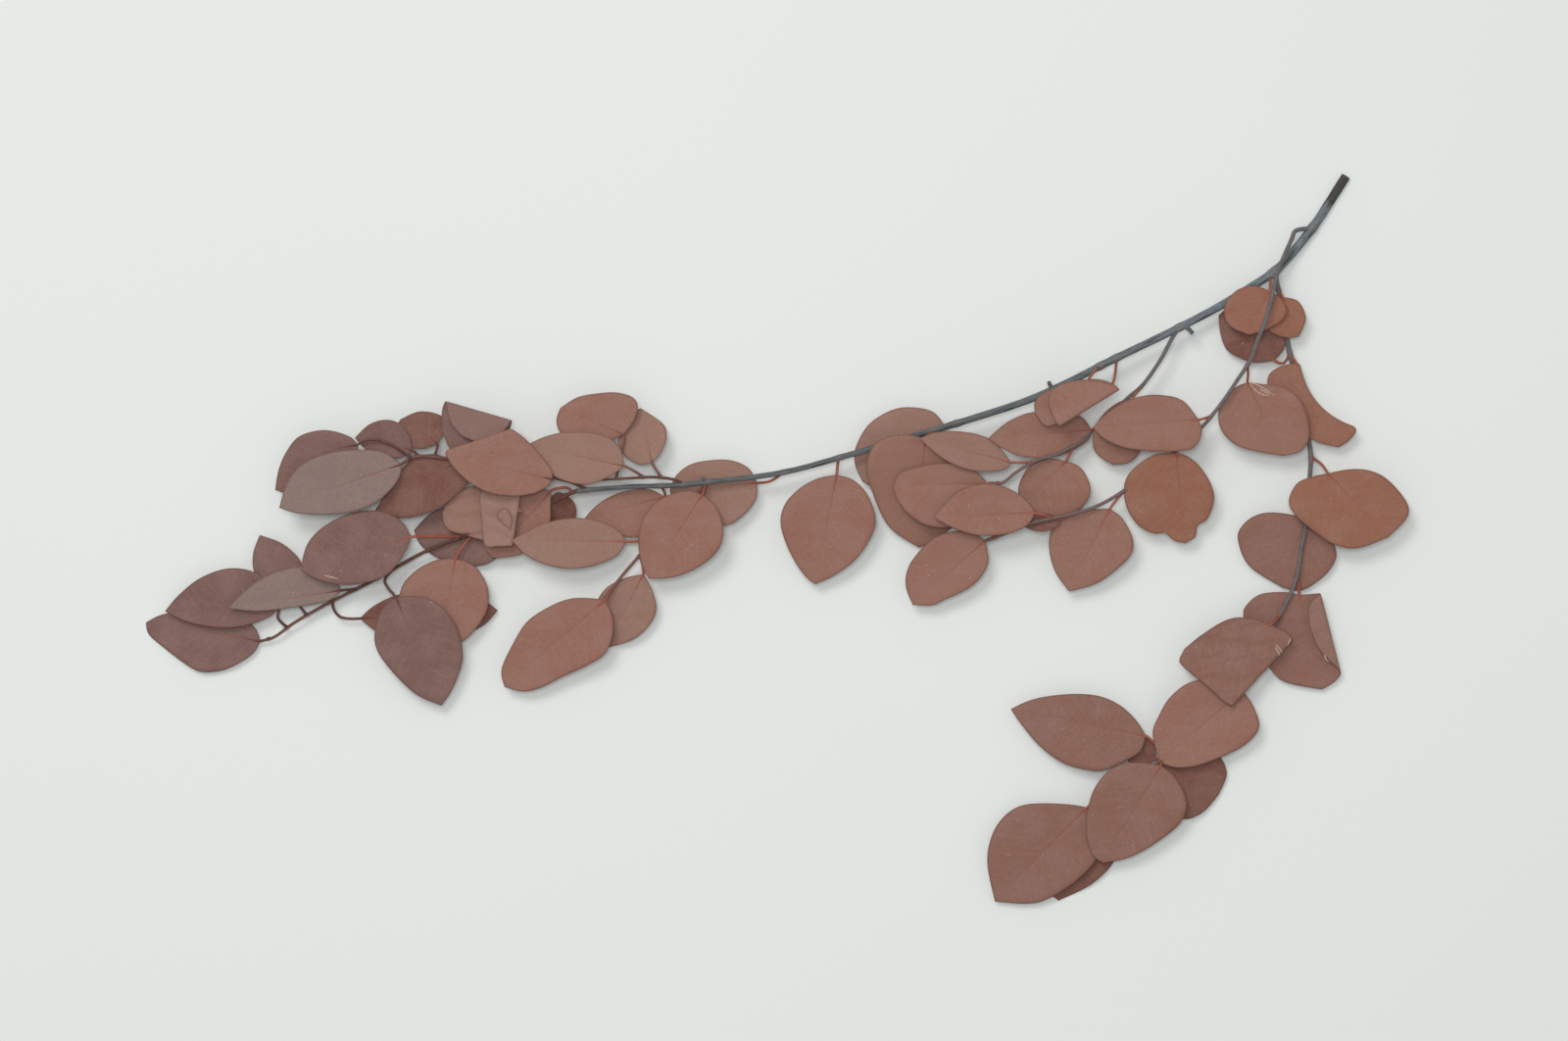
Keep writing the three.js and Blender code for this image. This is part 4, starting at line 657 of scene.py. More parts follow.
    def plain_rows(self):
        """Rows of plan points from the left rim over the midrib to the right rim, from base to tip."""
        lefts = spaced(self.left_side, LEAF_ROWS + 1)
        rights = spaced(self.right_side, LEAF_ROWS + 1)
        shares = np.linspace(0, 1, LEAF_ROWS + 1)
        middles = self.midrib(shares ** ROW_CROWDING)
        rows = [self.base[None, :]]
        for left, right, middle in zip(lefts[1:-1], rights[1:-1], middles[1:-1]):
            halves = []
            for end in (left, right):
                width = np.linalg.norm(end - middle)
                near = np.minimum(np.array(RIB_COLUMNS) / width, RIB_SHARE * np.arange(len(RIB_COLUMNS)))
                out = np.linspace(near[-1], 1, HALF_COLUMNS - len(RIB_COLUMNS) + 1)[1:]
                halves.append(middle + np.concatenate([near, out])[:, None] * (end - middle))
            rows.append(np.vstack([halves[0][::-1], halves[1][1:]]))
        rows.append(self.tip[None, :])
        return rows

    def fold_rows(self):
        """Rows of plan points along the fold, closest together where the blade bends."""
        along, side = self.off_crease(self.outline)
        bend = FOLD_RADIUS * FOLD_ANGLE
        distances = np.concatenate([
            np.linspace(side.min(), 0, FOLD_MAIN_ROWS, endpoint=False),
            np.linspace(0, bend, FOLD_BEND_ROWS, endpoint=False),
            np.linspace(bend, side.max(), FOLD_FLAP_ROWS),
        ])
        rows = [self.outline[[side.argmin()]]]
        for distance in distances[1:-1]:
            here, there = side - distance, np.roll(side, -1) - distance
            crossed = (here * there <= 0) & (here != there)
            share = here[crossed] / (here[crossed] - there[crossed])
            ends = along[crossed] + share * (np.roll(along, -1)[crossed] - along[crossed])
            places = np.linspace(ends.min(), ends.max(), FOLD_COLUMNS)
            rows.append(self.by_crease(places, distance))
        rows.append(self.outline[[side.argmax()]])
        return rows


class Shape:
    """Points, faces and surface notes gathered for one piece, in millimetres.

    Each point carries three notes that the materials read. On a blade, place holds the share from base
    to tip, the distance left of the midrib and the distance from the rim, and kind holds the length, a
    seed and 1 on the underside. On a twig, place holds the distance along it and the direction round it,
    and kind the share along it, a seed and how close a node is. tint is the piece's own colour."""

    def __init__(self):
        self.points, self.place, self.kind, self.tint = [], [], [], []
        self.faces, self.finish = [], []
        self.count = 0

    def add(self, points, faces, finish, place, kind, tint=(0.5, 0.5, 0.5)):
        points = np.asarray(points, float)
        self.points.append(points)
        self.place.append(np.broadcast_to(place, points.shape))
        self.kind.append(np.broadcast_to(kind, points.shape))
        self.tint.append(np.broadcast_to(tint, points.shape))
        self.faces.extend([corner + self.count for corner in face] for face in faces)
        self.finish.extend([finish] * len(faces))
        self.count += len(points)

    def piece(self, name, node, slot, materials):
        """The finished object, which rides on the branch and stands for the CAD node."""
        points = (np.vstack(self.points) - ORIGIN) * MM
        points[:, 2] = np.maximum(points[:, 2], 0.0)
        mesh = bpy.data.meshes.new(name)
        mesh.from_pydata(points.tolist(), [], self.faces)
        for material in materials:
            mesh.materials.append(material)
        mesh.polygons.foreach_set("material_index", self.finish)
        for note in ("place", "kind", "tint"):
            values = np.vstack(getattr(self, note)).astype(np.float32)
            layer = mesh.attributes.new(note, "FLOAT_VECTOR", "POINT")
            layer.data.foreach_set("vector", values.ravel())
        mesh.shade_smooth()
        mesh.update()
        piece = bpy.data.objects.new(name, mesh)
        bpy.context.collection.objects.link(piece)
        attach(piece, "root")
        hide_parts(node)
        return piece


def row_faces(rows):
    """Faces between rows of points, of which the first and the last are single points, and the rim."""
    starts = np.concatenate([[0], np.cumsum([len(row) for row in rows])])
    columns = len(rows[1])
    faces = [[0, starts[1] + column, starts[1] + column + 1] for column in range(columns - 1)]
    for here, there in zip(starts[1:-3], starts[2:-2]):
        for column in range(columns - 1):
            faces.append([here + column, there + column, there + column + 1, here + column + 1])
    last, end = starts[-3], starts[-2]
    faces.extend([last + column, end, last + column + 1] for column in range(columns - 1))
    down = [int(start) for start in starts[1:-2]]
    up = [int(start) + columns - 1 for start in starts[1:-2]][::-1]
    return [[int(corner) for corner in face] for face in faces], [0, *down, int(end), *up]


def add_blade(shape, blade, tint):
    """A closed leaf blade: two faces with a sunk midrib above, a raised one below, and a rounded rim."""
    leaf = bpy.context.scene.branch_leaf
    rows = blade.rows()
    plan = np.vstack(rows)
    faces, rim = row_faces(rows)
    share, aside = blade.share_and_across(plan)
    aside = aside - blade.bow * 4 * share * (1 - share) + (0 if blade.ribbed else RIBLESS)
    edge = blade.rim_distance(plan)
    edge[rim] = 0
    half = leaf.thickness / MM / 2 * (1 - RIM_THINNING * np.exp(-edge / RIM_WIDTH))
    relief = np.exp(-(aside / RIB_WIDTH) ** 2) * (1 - share)
    if "fold" in blade.leaf:
        relief = np.zeros(len(plan))
    middle = blade.place(plan)
    normal = blade.normal(plan)
    upper = middle + normal * (half - leaf.midrib_groove / MM * relief)[:, None]
    lower = middle - normal * (half + leaf.midrib_rise / MM * relief)[:, None]
    loop = plan[rim]
    ahead = unit(np.roll(loop, -1, axis=0) - np.roll(loop, 1, axis=0))
    outward = np.column_stack([-ahead[:, 1], ahead[:, 0]])
    outward *= np.sign(np.sum(outward * (loop - plan.mean(axis=0)), axis=1).sum())
    brink = blade.place(loop + outward * leaf.thickness / MM / 4)
    count = len(plan)
    skin = [face[::-1] for face in faces]
    skin += [[corner + count for corner in face] for face in faces]
    for step, corner in enumerate(rim):
        following = (step + 1) % len(rim)
        beside = rim[following]
        edge_here, edge_there = 2 * count + step, 2 * count + following
        skin.append([corner, beside, edge_there, edge_here])
        skin.append([corner + count, edge_here, edge_there, beside + count])
    place = np.column_stack([share, aside, edge])
    kind = np.tile((blade.length, SEED_SPREAD * blade.phase, 0.0), (count, 1))
    under = kind + (0, 0, 1)
    points = np.vstack([upper, lower, brink])
    shape.add(
        points, skin, 0, np.vstack([place, place, place[rim]]), np.vstack([kind, under, kind[rim]]), tint
    )


def add_tube(shape, curve, radius_at, sides, step, finish, seed, nodes=(), ridges=0.0, open_start=False,
             noted_start=0.0, tint=(0.5, 0.5, 0.5)):
    """A closed round twig along the curve; radius_at gives its radius at a share and a distance along,
    and noted_start is the distance along that its first ring is noted with."""
    rings = max(4, round(reach_along(curve)[-1] / step))
    centres = spaced(curve, rings + 1)
    tangents = unit(np.gradient(centres, axis=0))
    asides = unit(np.cross(tangents, UP))
    aboves = np.cross(asides, tangents)
    distances = reach_along(centres)
    angles = 2 * math.pi * (np.arange(sides) + 0.5) / sides - math.pi / 2
    shares = distances / distances[-1]
    near_node = np.zeros(rings + 1)
    for node in nodes:
        near_node = np.maximum(near_node, np.exp(-((distances - node) / NODE_WIDTH) ** 2))
    radii = radius_at(shares, distances) * (1 + NODE_SWELL * near_node)
    wave = 0
    for height, turns, pitch, shift in RIDGE_WAVES:
        wave = wave + height * np.sin(turns * angles[None, :] + pitch * distances[:, None] + shift * seed)
    around = radii[:, None] * (1 + ridges * wave)
    spokes = (
        asides[:, None, :] * np.cos(angles)[None, :, None]
        + aboves[:, None, :] * np.sin(angles)[None, :, None]
    )
    points = (centres[:, None, :] + spokes * around[:, :, None]).reshape(-1, 3)
    faces = []
    for ring in range(rings):
        for side in range(sides):
            a, b = ring * sides + side, ring * sides + (side + 1) % sides
            faces.append([a, a + sides, b + sides, b])
    if not open_start:
        faces.append(list(range(sides)))
    faces.append([rings * sides + side for side in reversed(range(sides))])
    place = np.column_stack([
        np.repeat(noted_start + distances, sides),
        np.tile(np.cos(angles), rings + 1),
        np.tile(np.sin(angles), rings + 1),
    ])
    kind = np.column_stack([
        np.repeat(shares, sides), np.full(len(points), seed), np.repeat(near_node, sides),
    ])
    shape.add(points, faces, finish, place, kind, tint)


def tapered(start, end):
    return lambda share, distance: start + (end - start) * share


def nearest_along(curve, point):
    """How far along the curve its point nearest to the given one lies."""
    nearest = np.linalg.norm(curve[:, :2] - np.asarray(point[:2]), axis=1).argmin()
    return reach_along(curve)[nearest]


def rib_shares(blade):
    """How far along the blade its stalk runs on as the midrib, half way and at its end."""
    return STALK_INTO_BLADE if blade.ribbed else STALK_BEHIND_BLADE


def stalk_curve(blade):
    """The route of a leaf's stalk, from the twig into the blade, where it thins out as the midrib."""
    leaf = blade.leaf
    places = [np.array(point[:2], float) for point in leaf["stalk"]] + [blade.base]
    heights = np.linspace(leaf["stalk"][0][2], leaf["heights"][0], len(places))
    route = [(*place, height) for place, height in zip(places, heights)]
    route.extend(blade.place(blade.midrib(np.array(rib_shares(blade)))))
    return smooth_curve(route, 0.5, True)


def add_stalk(shape, blade, finish, tint):
    """A leaf's stalk, thick where it leaves the twig, and the bud above it."""
    curve = stalk_curve(blade)
    length = reach_along(curve)[-1]
    in_blade = rib_shares(blade)[1] * blade.length / length

    def radius_at(share, distance):
        foot = (STALK_SWELL - 1) * np.exp(-(distance / STALK_FOOT) ** 2)
        taper = np.clip((1 - share) / in_blade, 0, 1)
        return STALK_END_RADIUS + (STALK_RADIUS * (1 + foot) - STALK_END_RADIUS) * taper ** 1.5

    add_tube(shape, curve, radius_at, STALK_SIDES, STALK_STEP, finish, SEED_SPREAD * blade.phase,
             ridges=STALK_RIDGES, tint=tint)
    start, ahead = curve[0], unit(curve[8] - curve[0])
    bud = smooth_curve([start, start + (ahead + UP) * BUD_LENGTH / 4, start + (ahead + UP) * BUD_LENGTH / 2],
                       0.5, True)
    add_tube(shape, bud, lambda share, distance: BUD_RADIUS * np.sqrt(1.02 - share ** 2), STALK_SIDES,
             BUD_LENGTH / 8, finish, SEED_SPREAD * blade.phase, tint=tint)


def add_fibres(shape, blade, finish):
    """Pale torn threads that lie on whichever face of the blade is uppermost."""
    thickness = bpy.context.scene.branch_leaf.thickness / MM
    for route in blade.leaf.get("fibres", ()):
        plan = spaced(smooth_curve(route, 0.5, True), CURVE_STEPS)
        normal = blade.normal(plan)
        curve = blade.place(plan) + normal * np.sign(normal[:, 2:]) * thickness / 2
        add_tube(shape, curve, lambda share, distance: FIBRE_RADIUS * np.sqrt(1.05 - (2 * share - 1) ** 2),
                 STALK_SIDES, FIBRE_RADIUS, finish, SEED_SPREAD * blade.phase, ridges=FIBRE_RIDGES)


def numbered_blades():
    """Every leaf as a blade, counted in the order of the tables: by shoot, then those on the stem."""
    blades, number = {}, 0
    for name, leaves in SHOOT_LEAVES.items():
        blades[name] = []
        for leaf in leaves:
            number += 1
            blades[name].append(Blade(leaf, number))
    for index, leaf in enumerate(STEM_LEAVES, 1):
        number += 1
        blades[f"stem_leaf_{index}"] = [Blade(leaf, number)]
    return blades


def add_node(tree, kind, inputs=None, **settings):
    """A shader node with its settings, and its inputs set to values or joined to sockets."""
    made = tree.nodes.new(kind)
    for name, value in settings.items():
        setattr(made, name, value)
    for name, value in (inputs or {}).items():
        if isinstance(value, bpy.types.NodeSocket):
            tree.links.new(value, made.inputs[name])
        else:
            made.inputs[name].default_value = value
    return made


def maths(tree, operation, first, second=0.0, clamped=False):
    return add_node(tree, "ShaderNodeMath", {0: first, 1: second}, operation=operation,
                    use_clamp=clamped).outputs[0]


def stepped(tree, value, low, high, start=0.0, end=1.0):
    """A smooth step of the value from low to high, between start and end."""
    inputs = {"Value": value, "From Min": low, "From Max": high, "To Min": start, "To Max": end}
    return add_node(tree, "ShaderNodeMapRange", inputs, interpolation_type="SMOOTHSTEP").outputs[0]


def mixed(tree, share, first, second, blend="MIX"):
    """Two colours mixed by a mask."""
    made = add_node(tree, "ShaderNodeMix", {0: share, 6: first, 7: second}, data_type="RGBA",
                    blend_type=blend)
    return made.outputs[2]


def note(tree, name):
    return add_node(tree, "ShaderNodeAttribute", attribute_name=name).outputs["Vector"]


def split(tree, vector):
    return add_node(tree, "ShaderNodeSeparateXYZ", {0: vector}).outputs


def colour(value):
    return (*value, 1.0)


def new_group(name, inputs, outputs):
    """An empty shader node group with named sockets, its input node's sockets and its output node."""
    group = bpy.data.node_groups.new(name, "ShaderNodeTree")
    for socket, kind in inputs.items():
        group.interface.new_socket(socket, in_out="INPUT", socket_type=kind)
    for socket, kind in outputs.items():
        group.interface.new_socket(socket, in_out="OUTPUT", socket_type=kind)
    return group, group.nodes.new("NodeGroupInput").outputs, group.nodes.new("NodeGroupOutput").inputs


def grain_group():
    """Fine grain, broad mottling and scattered specks over a surface measured in millimetres."""
    name = "Dried Grain"
    if name in bpy.data.node_groups:
        return bpy.data.node_groups[name]
    group, given, made = new_group(
        name,
        {"Vector": "NodeSocketVector", "Fineness": "NodeSocketFloat", "Broadness": "NodeSocketFloat"},
        {"Grain": "NodeSocketFloat", "Mottle": "NodeSocketFloat", "Specks": "NodeSocketFloat"},
    )
    fine = add_node(group, "ShaderNodeTexNoise", {"Vector": given["Vector"], "Scale": given["Fineness"],
                                                  "Detail": 4.0, "Roughness": 0.7})
    broad = add_node(group, "ShaderNodeTexNoise", {"Vector": given["Vector"], "Scale": given["Broadness"],
                                                   "Detail": 3.0, "Roughness": 0.55})
    cells = add_node(group, "ShaderNodeTexVoronoi", {"Vector": given["Vector"], "Scale": 0.33})
    chance = add_node(group, "ShaderNodeSeparateColor", {"Color": cells.outputs["Color"]})
    rare = stepped(group, chance.outputs["Red"], 0.86, 0.9)
    dot = stepped(group, cells.outputs["Distance"], 0.16, 0.06)
    group.links.new(stepped(group, fine.outputs[0], 0.3, 0.7), made["Grain"])
    group.links.new(stepped(group, broad.outputs[0], 0.3, 0.7), made["Mottle"])
    group.links.new(maths(group, "MULTIPLY", rare, dot), made["Specks"])
    return group


def grain_on(tree, vector, fineness, broadness):
    """The grain's masks over a surface."""
    inputs = {"Vector": vector, "Fineness": fineness, "Broadness": broadness}
    return add_node(tree, "ShaderNodeGroup", inputs, node_tree=grain_group()).outputs


def vein_group():
    """Midrib, side veins, vein net and rim line of a leaf, read from the blade's own notes."""
    name = "Leaf Veins"
    if name in bpy.data.node_groups:
        return bpy.data.node_groups[name]
    masks = ("Midrib", "Side Veins", "Net", "Rim")
    group, _, made = new_group(name, {}, dict.fromkeys((*masks, "Underside"), "NodeSocketFloat")
                               | {"Surface": "NodeSocketVector"})
    share, aside, rim = split(group, note(group, "place"))
    length, seed, under = split(group, note(group, "kind"))
    along = maths(group, "MULTIPLY", share, length)
    off_rib = maths(group, "ABSOLUTE", aside)
    surface = add_node(group, "ShaderNodeCombineXYZ", {0: along, 1: aside, 2: seed}).outputs[0]
    rib_width = stepped(group, share, 0.0, 0.8, 0.6, 0.22)
    rib_core = maths(group, "SUBTRACT", 1.0, maths(group, "DIVIDE", off_rib, rib_width), True)
    rib_fade = stepped(group, share, 0.8, 0.1, 0.12, 1.0)
    group.links.new(maths(group, "MULTIPLY", rib_core, rib_fade), made["Midrib"])
    sway = add_node(group, "ShaderNodeTexNoise", {"Vector": surface, "Scale": 0.12, "Detail": 2.0})
    slant = maths(group, "MULTIPLY", off_rib, 0.75)
    rank = maths(group, "DIVIDE", maths(group, "SUBTRACT", along, slant), 5.2)
    rank = maths(group, "ADD", rank, maths(group, "MULTIPLY", sway.outputs[0], 1.6))
    wave = maths(group, "ABSOLUTE", maths(group, "SUBTRACT", maths(group, "FRACT", rank), 0.5))
    veins = stepped(group, wave, 0.075, 0.0)
    clear = maths(group, "MULTIPLY", stepped(group, rim, 0.5, 3.0), stepped(group, off_rib, 0.2, 1.2))
    group.links.new(maths(group, "MULTIPLY", veins, clear), made["Side Veins"])
    cells = add_node(group, "ShaderNodeTexVoronoi", {"Vector": surface, "Scale": 0.75},
                     feature="DISTANCE_TO_EDGE")
    group.links.new(stepped(group, cells.outputs["Distance"], 0.12, 0.0), made["Net"])
    group.links.new(stepped(group, rim, 0.9, 0.1), made["Rim"])
    group.links.new(under, made["Underside"])
    group.links.new(surface, made["Surface"])
    return group


def painted(name, paint):
    """The material of that name, made by its paint function when it is first asked for."""
    material = bpy.data.materials.get(name)
    if material is None:
        material = bpy.data.materials.new(name)
        material.use_nodes = True
        paint(material.node_tree, material.node_tree.nodes["Principled BSDF"])
    return material


def add_bump(tree, shader, height, strength, distance):
    bump = add_node(tree, "ShaderNodeBump", {"Height": height, "Strength": strength, "Distance": distance})
    tree.links.new(bump.outputs["Normal"], shader.inputs["Normal"])


def paint_leaf(tree, shader):
    """Matte, dusty leaf skin with a red midrib, faint veins, a thin rim line and a few specks."""
    leaf = bpy.context.scene.branch_leaf
    veins = add_node(tree, "ShaderNodeGroup", node_tree=vein_group()).outputs
    grain = grain_on(tree, veins["Surface"], 1.1, 0.07)
    bloom = stepped(tree, grain["Mottle"], 0.0, 1.0, 0.0, 0.22)
    skin = mixed(tree, bloom, note(tree, "tint"), colour(leaf.dust))
    skin = mixed(tree, stepped(tree, grain["Grain"], 0.35, 1.0, 0.0, 0.45), skin, colour(leaf.shade),
                 "MULTIPLY")
    layers = (
        (veins["Underside"], 0.3, leaf.underside),
        (veins["Net"], 0.1, leaf.vein),
        (veins["Side Veins"], 0.16, leaf.vein),
        (veins["Midrib"], 0.7, leaf.midrib),
        (veins["Rim"], 0.45, leaf.rim),
        (grain["Specks"], 0.5, leaf.speck),
    )
    for mask, strength, tone in layers:
        skin = mixed(tree, maths(tree, "MULTIPLY", mask, strength), skin, colour(tone))
    tree.links.new(skin, shader.inputs["Base Color"])
    tree.links.new(stepped(tree, grain["Grain"], 0.0, 1.0, 0.58, 0.74), shader.inputs["Roughness"])
    shader.inputs["Specular IOR Level"].default_value = 0.32
    height = maths(tree, "MULTIPLY", grain["Grain"], 0.35)
    for mask, rise in (("Side Veins", 0.35), ("Net", 0.22), ("Midrib", -0.9)):
        height = maths(tree, "ADD", height, maths(tree, "MULTIPLY", veins[mask], rise))
    add_bump(tree, shader, height, 0.4, 0.12 * MM)


def streaks(tree, along_scale, around_scale):
    """A vector for lengthwise streaks, the distance and share along the piece, and how near a node is."""
    along, across, up = split(tree, note(tree, "place"))
    share, seed, near_node = split(tree, note(tree, "kind"))
    inputs = {
        0: maths(tree, "MULTIPLY", along, along_scale),
        1: maths(tree, "MULTIPLY", across, around_scale),
        2: maths(tree, "MULTIPLY", up, around_scale),
    }
    vector = add_node(tree, "ShaderNodeCombineXYZ", inputs).outputs[0]
    offset = add_node(tree, "ShaderNodeVectorMath", {0: vector, 1: seed}, operation="ADD").outputs[0]
    return offset, along, share, near_node


def paint_bark(tree, shader):
    """Slate-grey bark with streaks and dark patches, pale scars at the nodes and a bared brown end."""
    stem = bpy.context.scene.branch_stem
    vector, along, share, near_node = streaks(tree, 0.09, 1.6)
    grain = grain_on(tree, vector, 3.2, 0.8)
    skin = mixed(tree, stepped(tree, grain["Grain"], 0.15, 0.8), colour(stem.bark), colour(stem.bark_pale))
    skin = mixed(tree, stepped(tree, share, 0.15, 0.6, 0.0, 0.6), skin, colour(stem.bark_far))
    skin = mixed(tree, stepped(tree, grain["Mottle"], 0.6, 1.0, 0.0, 0.8), skin, colour(stem.bark_dark))
    skin = mixed(tree, maths(tree, "MULTIPLY", near_node, 0.35), skin, colour(stem.scar))
    ragged = maths(tree, "MULTIPLY", grain["Mottle"], 5.0)
    bared = stepped(tree, maths(tree, "SUBTRACT", along, ragged), stem.bared_length / MM,
                    stem.bared_length / MM - 3.0)
    skin = mixed(tree, bared, skin, mixed(tree, grain["Grain"], colour(stem.bared), colour(stem.bared_dark)))
    tree.links.new(skin, shader.inputs["Base Color"])
    tree.links.new(stepped(tree, grain["Grain"], 0.0, 1.0, 0.6, 0.8), shader.inputs["Roughness"])
    shader.inputs["Specular IOR Level"].default_value = 0.3
    add_bump(tree, shader, grain["Grain"], 0.6, 0.15 * MM)


def paint_twig(tree, shader):
    """Thin twig skin in the shoot's own colour, rusty at the nodes and towards the tip."""
    stem = bpy.context.scene.branch_stem
    vector, _, share, near_node = streaks(tree, 0.12, 1.3)
    grain = grain_on(tree, vector, 3.0, 0.7)
    skin = mixed(tree, stepped(tree, grain["Grain"], 0.2, 0.9), note(tree, "tint"), colour(stem.twig_grain),
                 "MULTIPLY")
    skin = mixed(tree, stepped(tree, share, 0.3, 1.0, 0.0, 0.5), skin, colour(stem.rust))
    skin = mixed(tree, maths(tree, "MULTIPLY", near_node, 0.3), skin, colour(stem.rust))
    tree.links.new(skin, shader.inputs["Base Color"])
    tree.links.new(stepped(tree, grain["Grain"], 0.0, 1.0, 0.5, 0.7), shader.inputs["Roughness"])
    shader.inputs["Specular IOR Level"].default_value = 0.35
    add_bump(tree, shader, grain["Grain"], 0.5, 0.12 * MM)


def paint_stalk(tree, shader):
    """Leaf stalks in the shoot's own colour, darker at the foot."""
    stem = bpy.context.scene.branch_stem
    vector, _, share, _ = streaks(tree, 0.25, 0.9)
    grain = grain_on(tree, vector, 2.5, 0.6)
    blotch = stepped(tree, grain["Mottle"], 0.3, 1.0, 0.0, 0.4)
    dark = maths(tree, "ADD", stepped(tree, share, 0.4, 0.0), blotch, True)
    skin = mixed(tree, dark, note(tree, "tint"), colour(stem.stalk_foot), "MULTIPLY")
    tree.links.new(skin, shader.inputs["Base Color"])
    tree.links.new(stepped(tree, grain["Grain"], 0.0, 1.0, 0.45, 0.62), shader.inputs["Roughness"])
    shader.inputs["Specular IOR Level"].default_value = 0.4
    add_bump(tree, shader, grain["Grain"], 0.35, 0.08 * MM)


def paint_cut_wood(tree, shader):
    """The cut end: a dark pith, pale wood with rings and a dark skin."""
    stem = bpy.context.scene.branch_stem
    out, _, _ = split(tree, note(tree, "place"))
    rings = maths(tree, "PINGPONG", maths(tree, "MULTIPLY", out, 3.0), 0.5)
    skin = mixed(tree, rings, colour(stem.cut_wood), colour(stem.bared))
    skin = mixed(tree, stepped(tree, out, 0.28, 0.18), skin, colour(stem.bared_dark))
    skin = mixed(tree, stepped(tree, out, 0.86, 0.96), skin, colour(stem.bared_dark))
    tree.links.new(skin, shader.inputs["Base Color"])
    shader.inputs["Roughness"].default_value = 0.8
    add_bump(tree, shader, rings, 0.5, 0.1 * MM)


def paint_fibre(tree, shader):
    """Pale torn fibre where a leaf's skin has split."""
    leaf = bpy.context.scene.branch_leaf
    noise = add_node(tree, "ShaderNodeTexNoise", {"Vector": note(tree, "place"), "Scale": 1.4})
    skin = mixed(tree, stepped(tree, noise.outputs[0], 0.35, 0.65), colour(leaf.fibre), colour(leaf.vein))
    tree.links.new(skin, shader.inputs["Base Color"])
    shader.inputs["Roughness"].default_value = 0.85


def distance_property(name, description, default):
    return bpy.props.FloatProperty(name=name, description=description, default=default, min=0.0,
                                   subtype="DISTANCE", unit="LENGTH", precision=5)


def colour_property(name, description, default):
    return bpy.props.FloatVectorProperty(name=name, description=description, default=default, size=3,
                                         min=0.0, max=1.0, subtype="COLOR")


class BranchLeafSettings(bpy.types.PropertyGroup):
    """Sizes and colours of the leaves."""

    thickness: distance_property("Thickness", "Thickness of a blade", 0.45 * MM)
    midrib_groove: distance_property("Midrib groove", "How far the midrib is sunk above", 0.1 * MM)
    midrib_rise: distance_property("Midrib rise", "How far the midrib stands out below", 0.4 * MM)
    plain: colour_property("Plain", "Most leaves", (0.28, 0.127, 0.092))
    warm: colour_property("Warm", "Redder leaves near the cut end", (0.28, 0.11, 0.066))
    dusty: colour_property("Dusty", "Paler leaves", (0.295, 0.157, 0.12))
    mauve: colour_property("Mauve", "Leaves at the far end", (0.18, 0.09, 0.08))
    grey: colour_property("Grey", "Greyer leaves at the far end", (0.225, 0.157, 0.14))
    ruddy: colour_property("Ruddy", "Leaves of the right shoot's end", (0.238, 0.107, 0.08))
    # Dark leaves underneath: partly their own darker colour, partly painted shade cast by the leaves that
    # lie over them
    deep_and_shaded: colour_property("Deep", "Dark leaves underneath", (0.168, 0.061, 0.043))
    dust: colour_property("Dust", "Bloom that lies on the skin in patches", (0.3, 0.19, 0.155))
    shade: colour_property("Grain", "Fine dark grain, multiplied in", (0.8, 0.76, 0.74))
    underside: colour_property("Underside", "Tint of the lower face", (0.3, 0.19, 0.155))
    midrib: colour_property("Midrib", "Midrib's red line", (0.27, 0.075, 0.055))
    vein: colour_property("Veins", "Side veins and vein net", (0.4, 0.24, 0.18))
    rim: colour_property("Rim", "Thin line along the rim", (0.13, 0.055, 0.042))
    speck: colour_property("Specks", "Small pale specks", (0.5, 0.38, 0.3))
    fibre: colour_property("Fibre", "Torn skin", (0.62, 0.52, 0.42))


class BranchStemSettings(bpy.types.PropertyGroup):
    """Sizes and colours of the stem, twigs and stalks."""

    bared_length: distance_property("Bared end", "Length of the bared part at the cut end", 17 * MM)
    bark: colour_property("Bark", "Main stem", (0.1, 0.113, 0.124))
    bark_pale: colour_property("Pale bark", "Pale streaks", (0.2, 0.23, 0.25))
    bark_far: colour_property("Far bark", "Browner bark towards the far end", (0.095, 0.092, 0.085))
    bark_dark: colour_property("Dark bark", "Dark patches", (0.032, 0.033, 0.036))
    scar: colour_property("Scars", "Nodes and leaf scars", (0.24, 0.2, 0.18))
    bared: colour_property("Bared wood", "Bared part at the cut end", (0.078, 0.07, 0.06))
    bared_dark: colour_property("Dark wood", "Grain of the bared part", (0.042, 0.037, 0.031))
    cut_wood: colour_property("Cut wood", "Face of the cut", (0.3, 0.24, 0.17))
    grey: colour_property("Grey", "Twigs near the cut end", (0.16, 0.146, 0.146))
    rust: colour_property("Rust", "Twigs of the middle", (0.2, 0.085, 0.062))
    brown: colour_property("Brown", "Twigs and stalks of the far end", (0.13, 0.05, 0.038))
    red: colour_property("Red", "Most leaf stalks", (0.33, 0.09, 0.05))
    twig_grain: colour_property("Twig grain", "Dark streaks on twigs, multiplied in", (0.62, 0.62, 0.64))
    stalk_foot: colour_property("Stalk foot", "Darker feet of the stalks, multiplied in", (0.58, 0.62, 0.7))


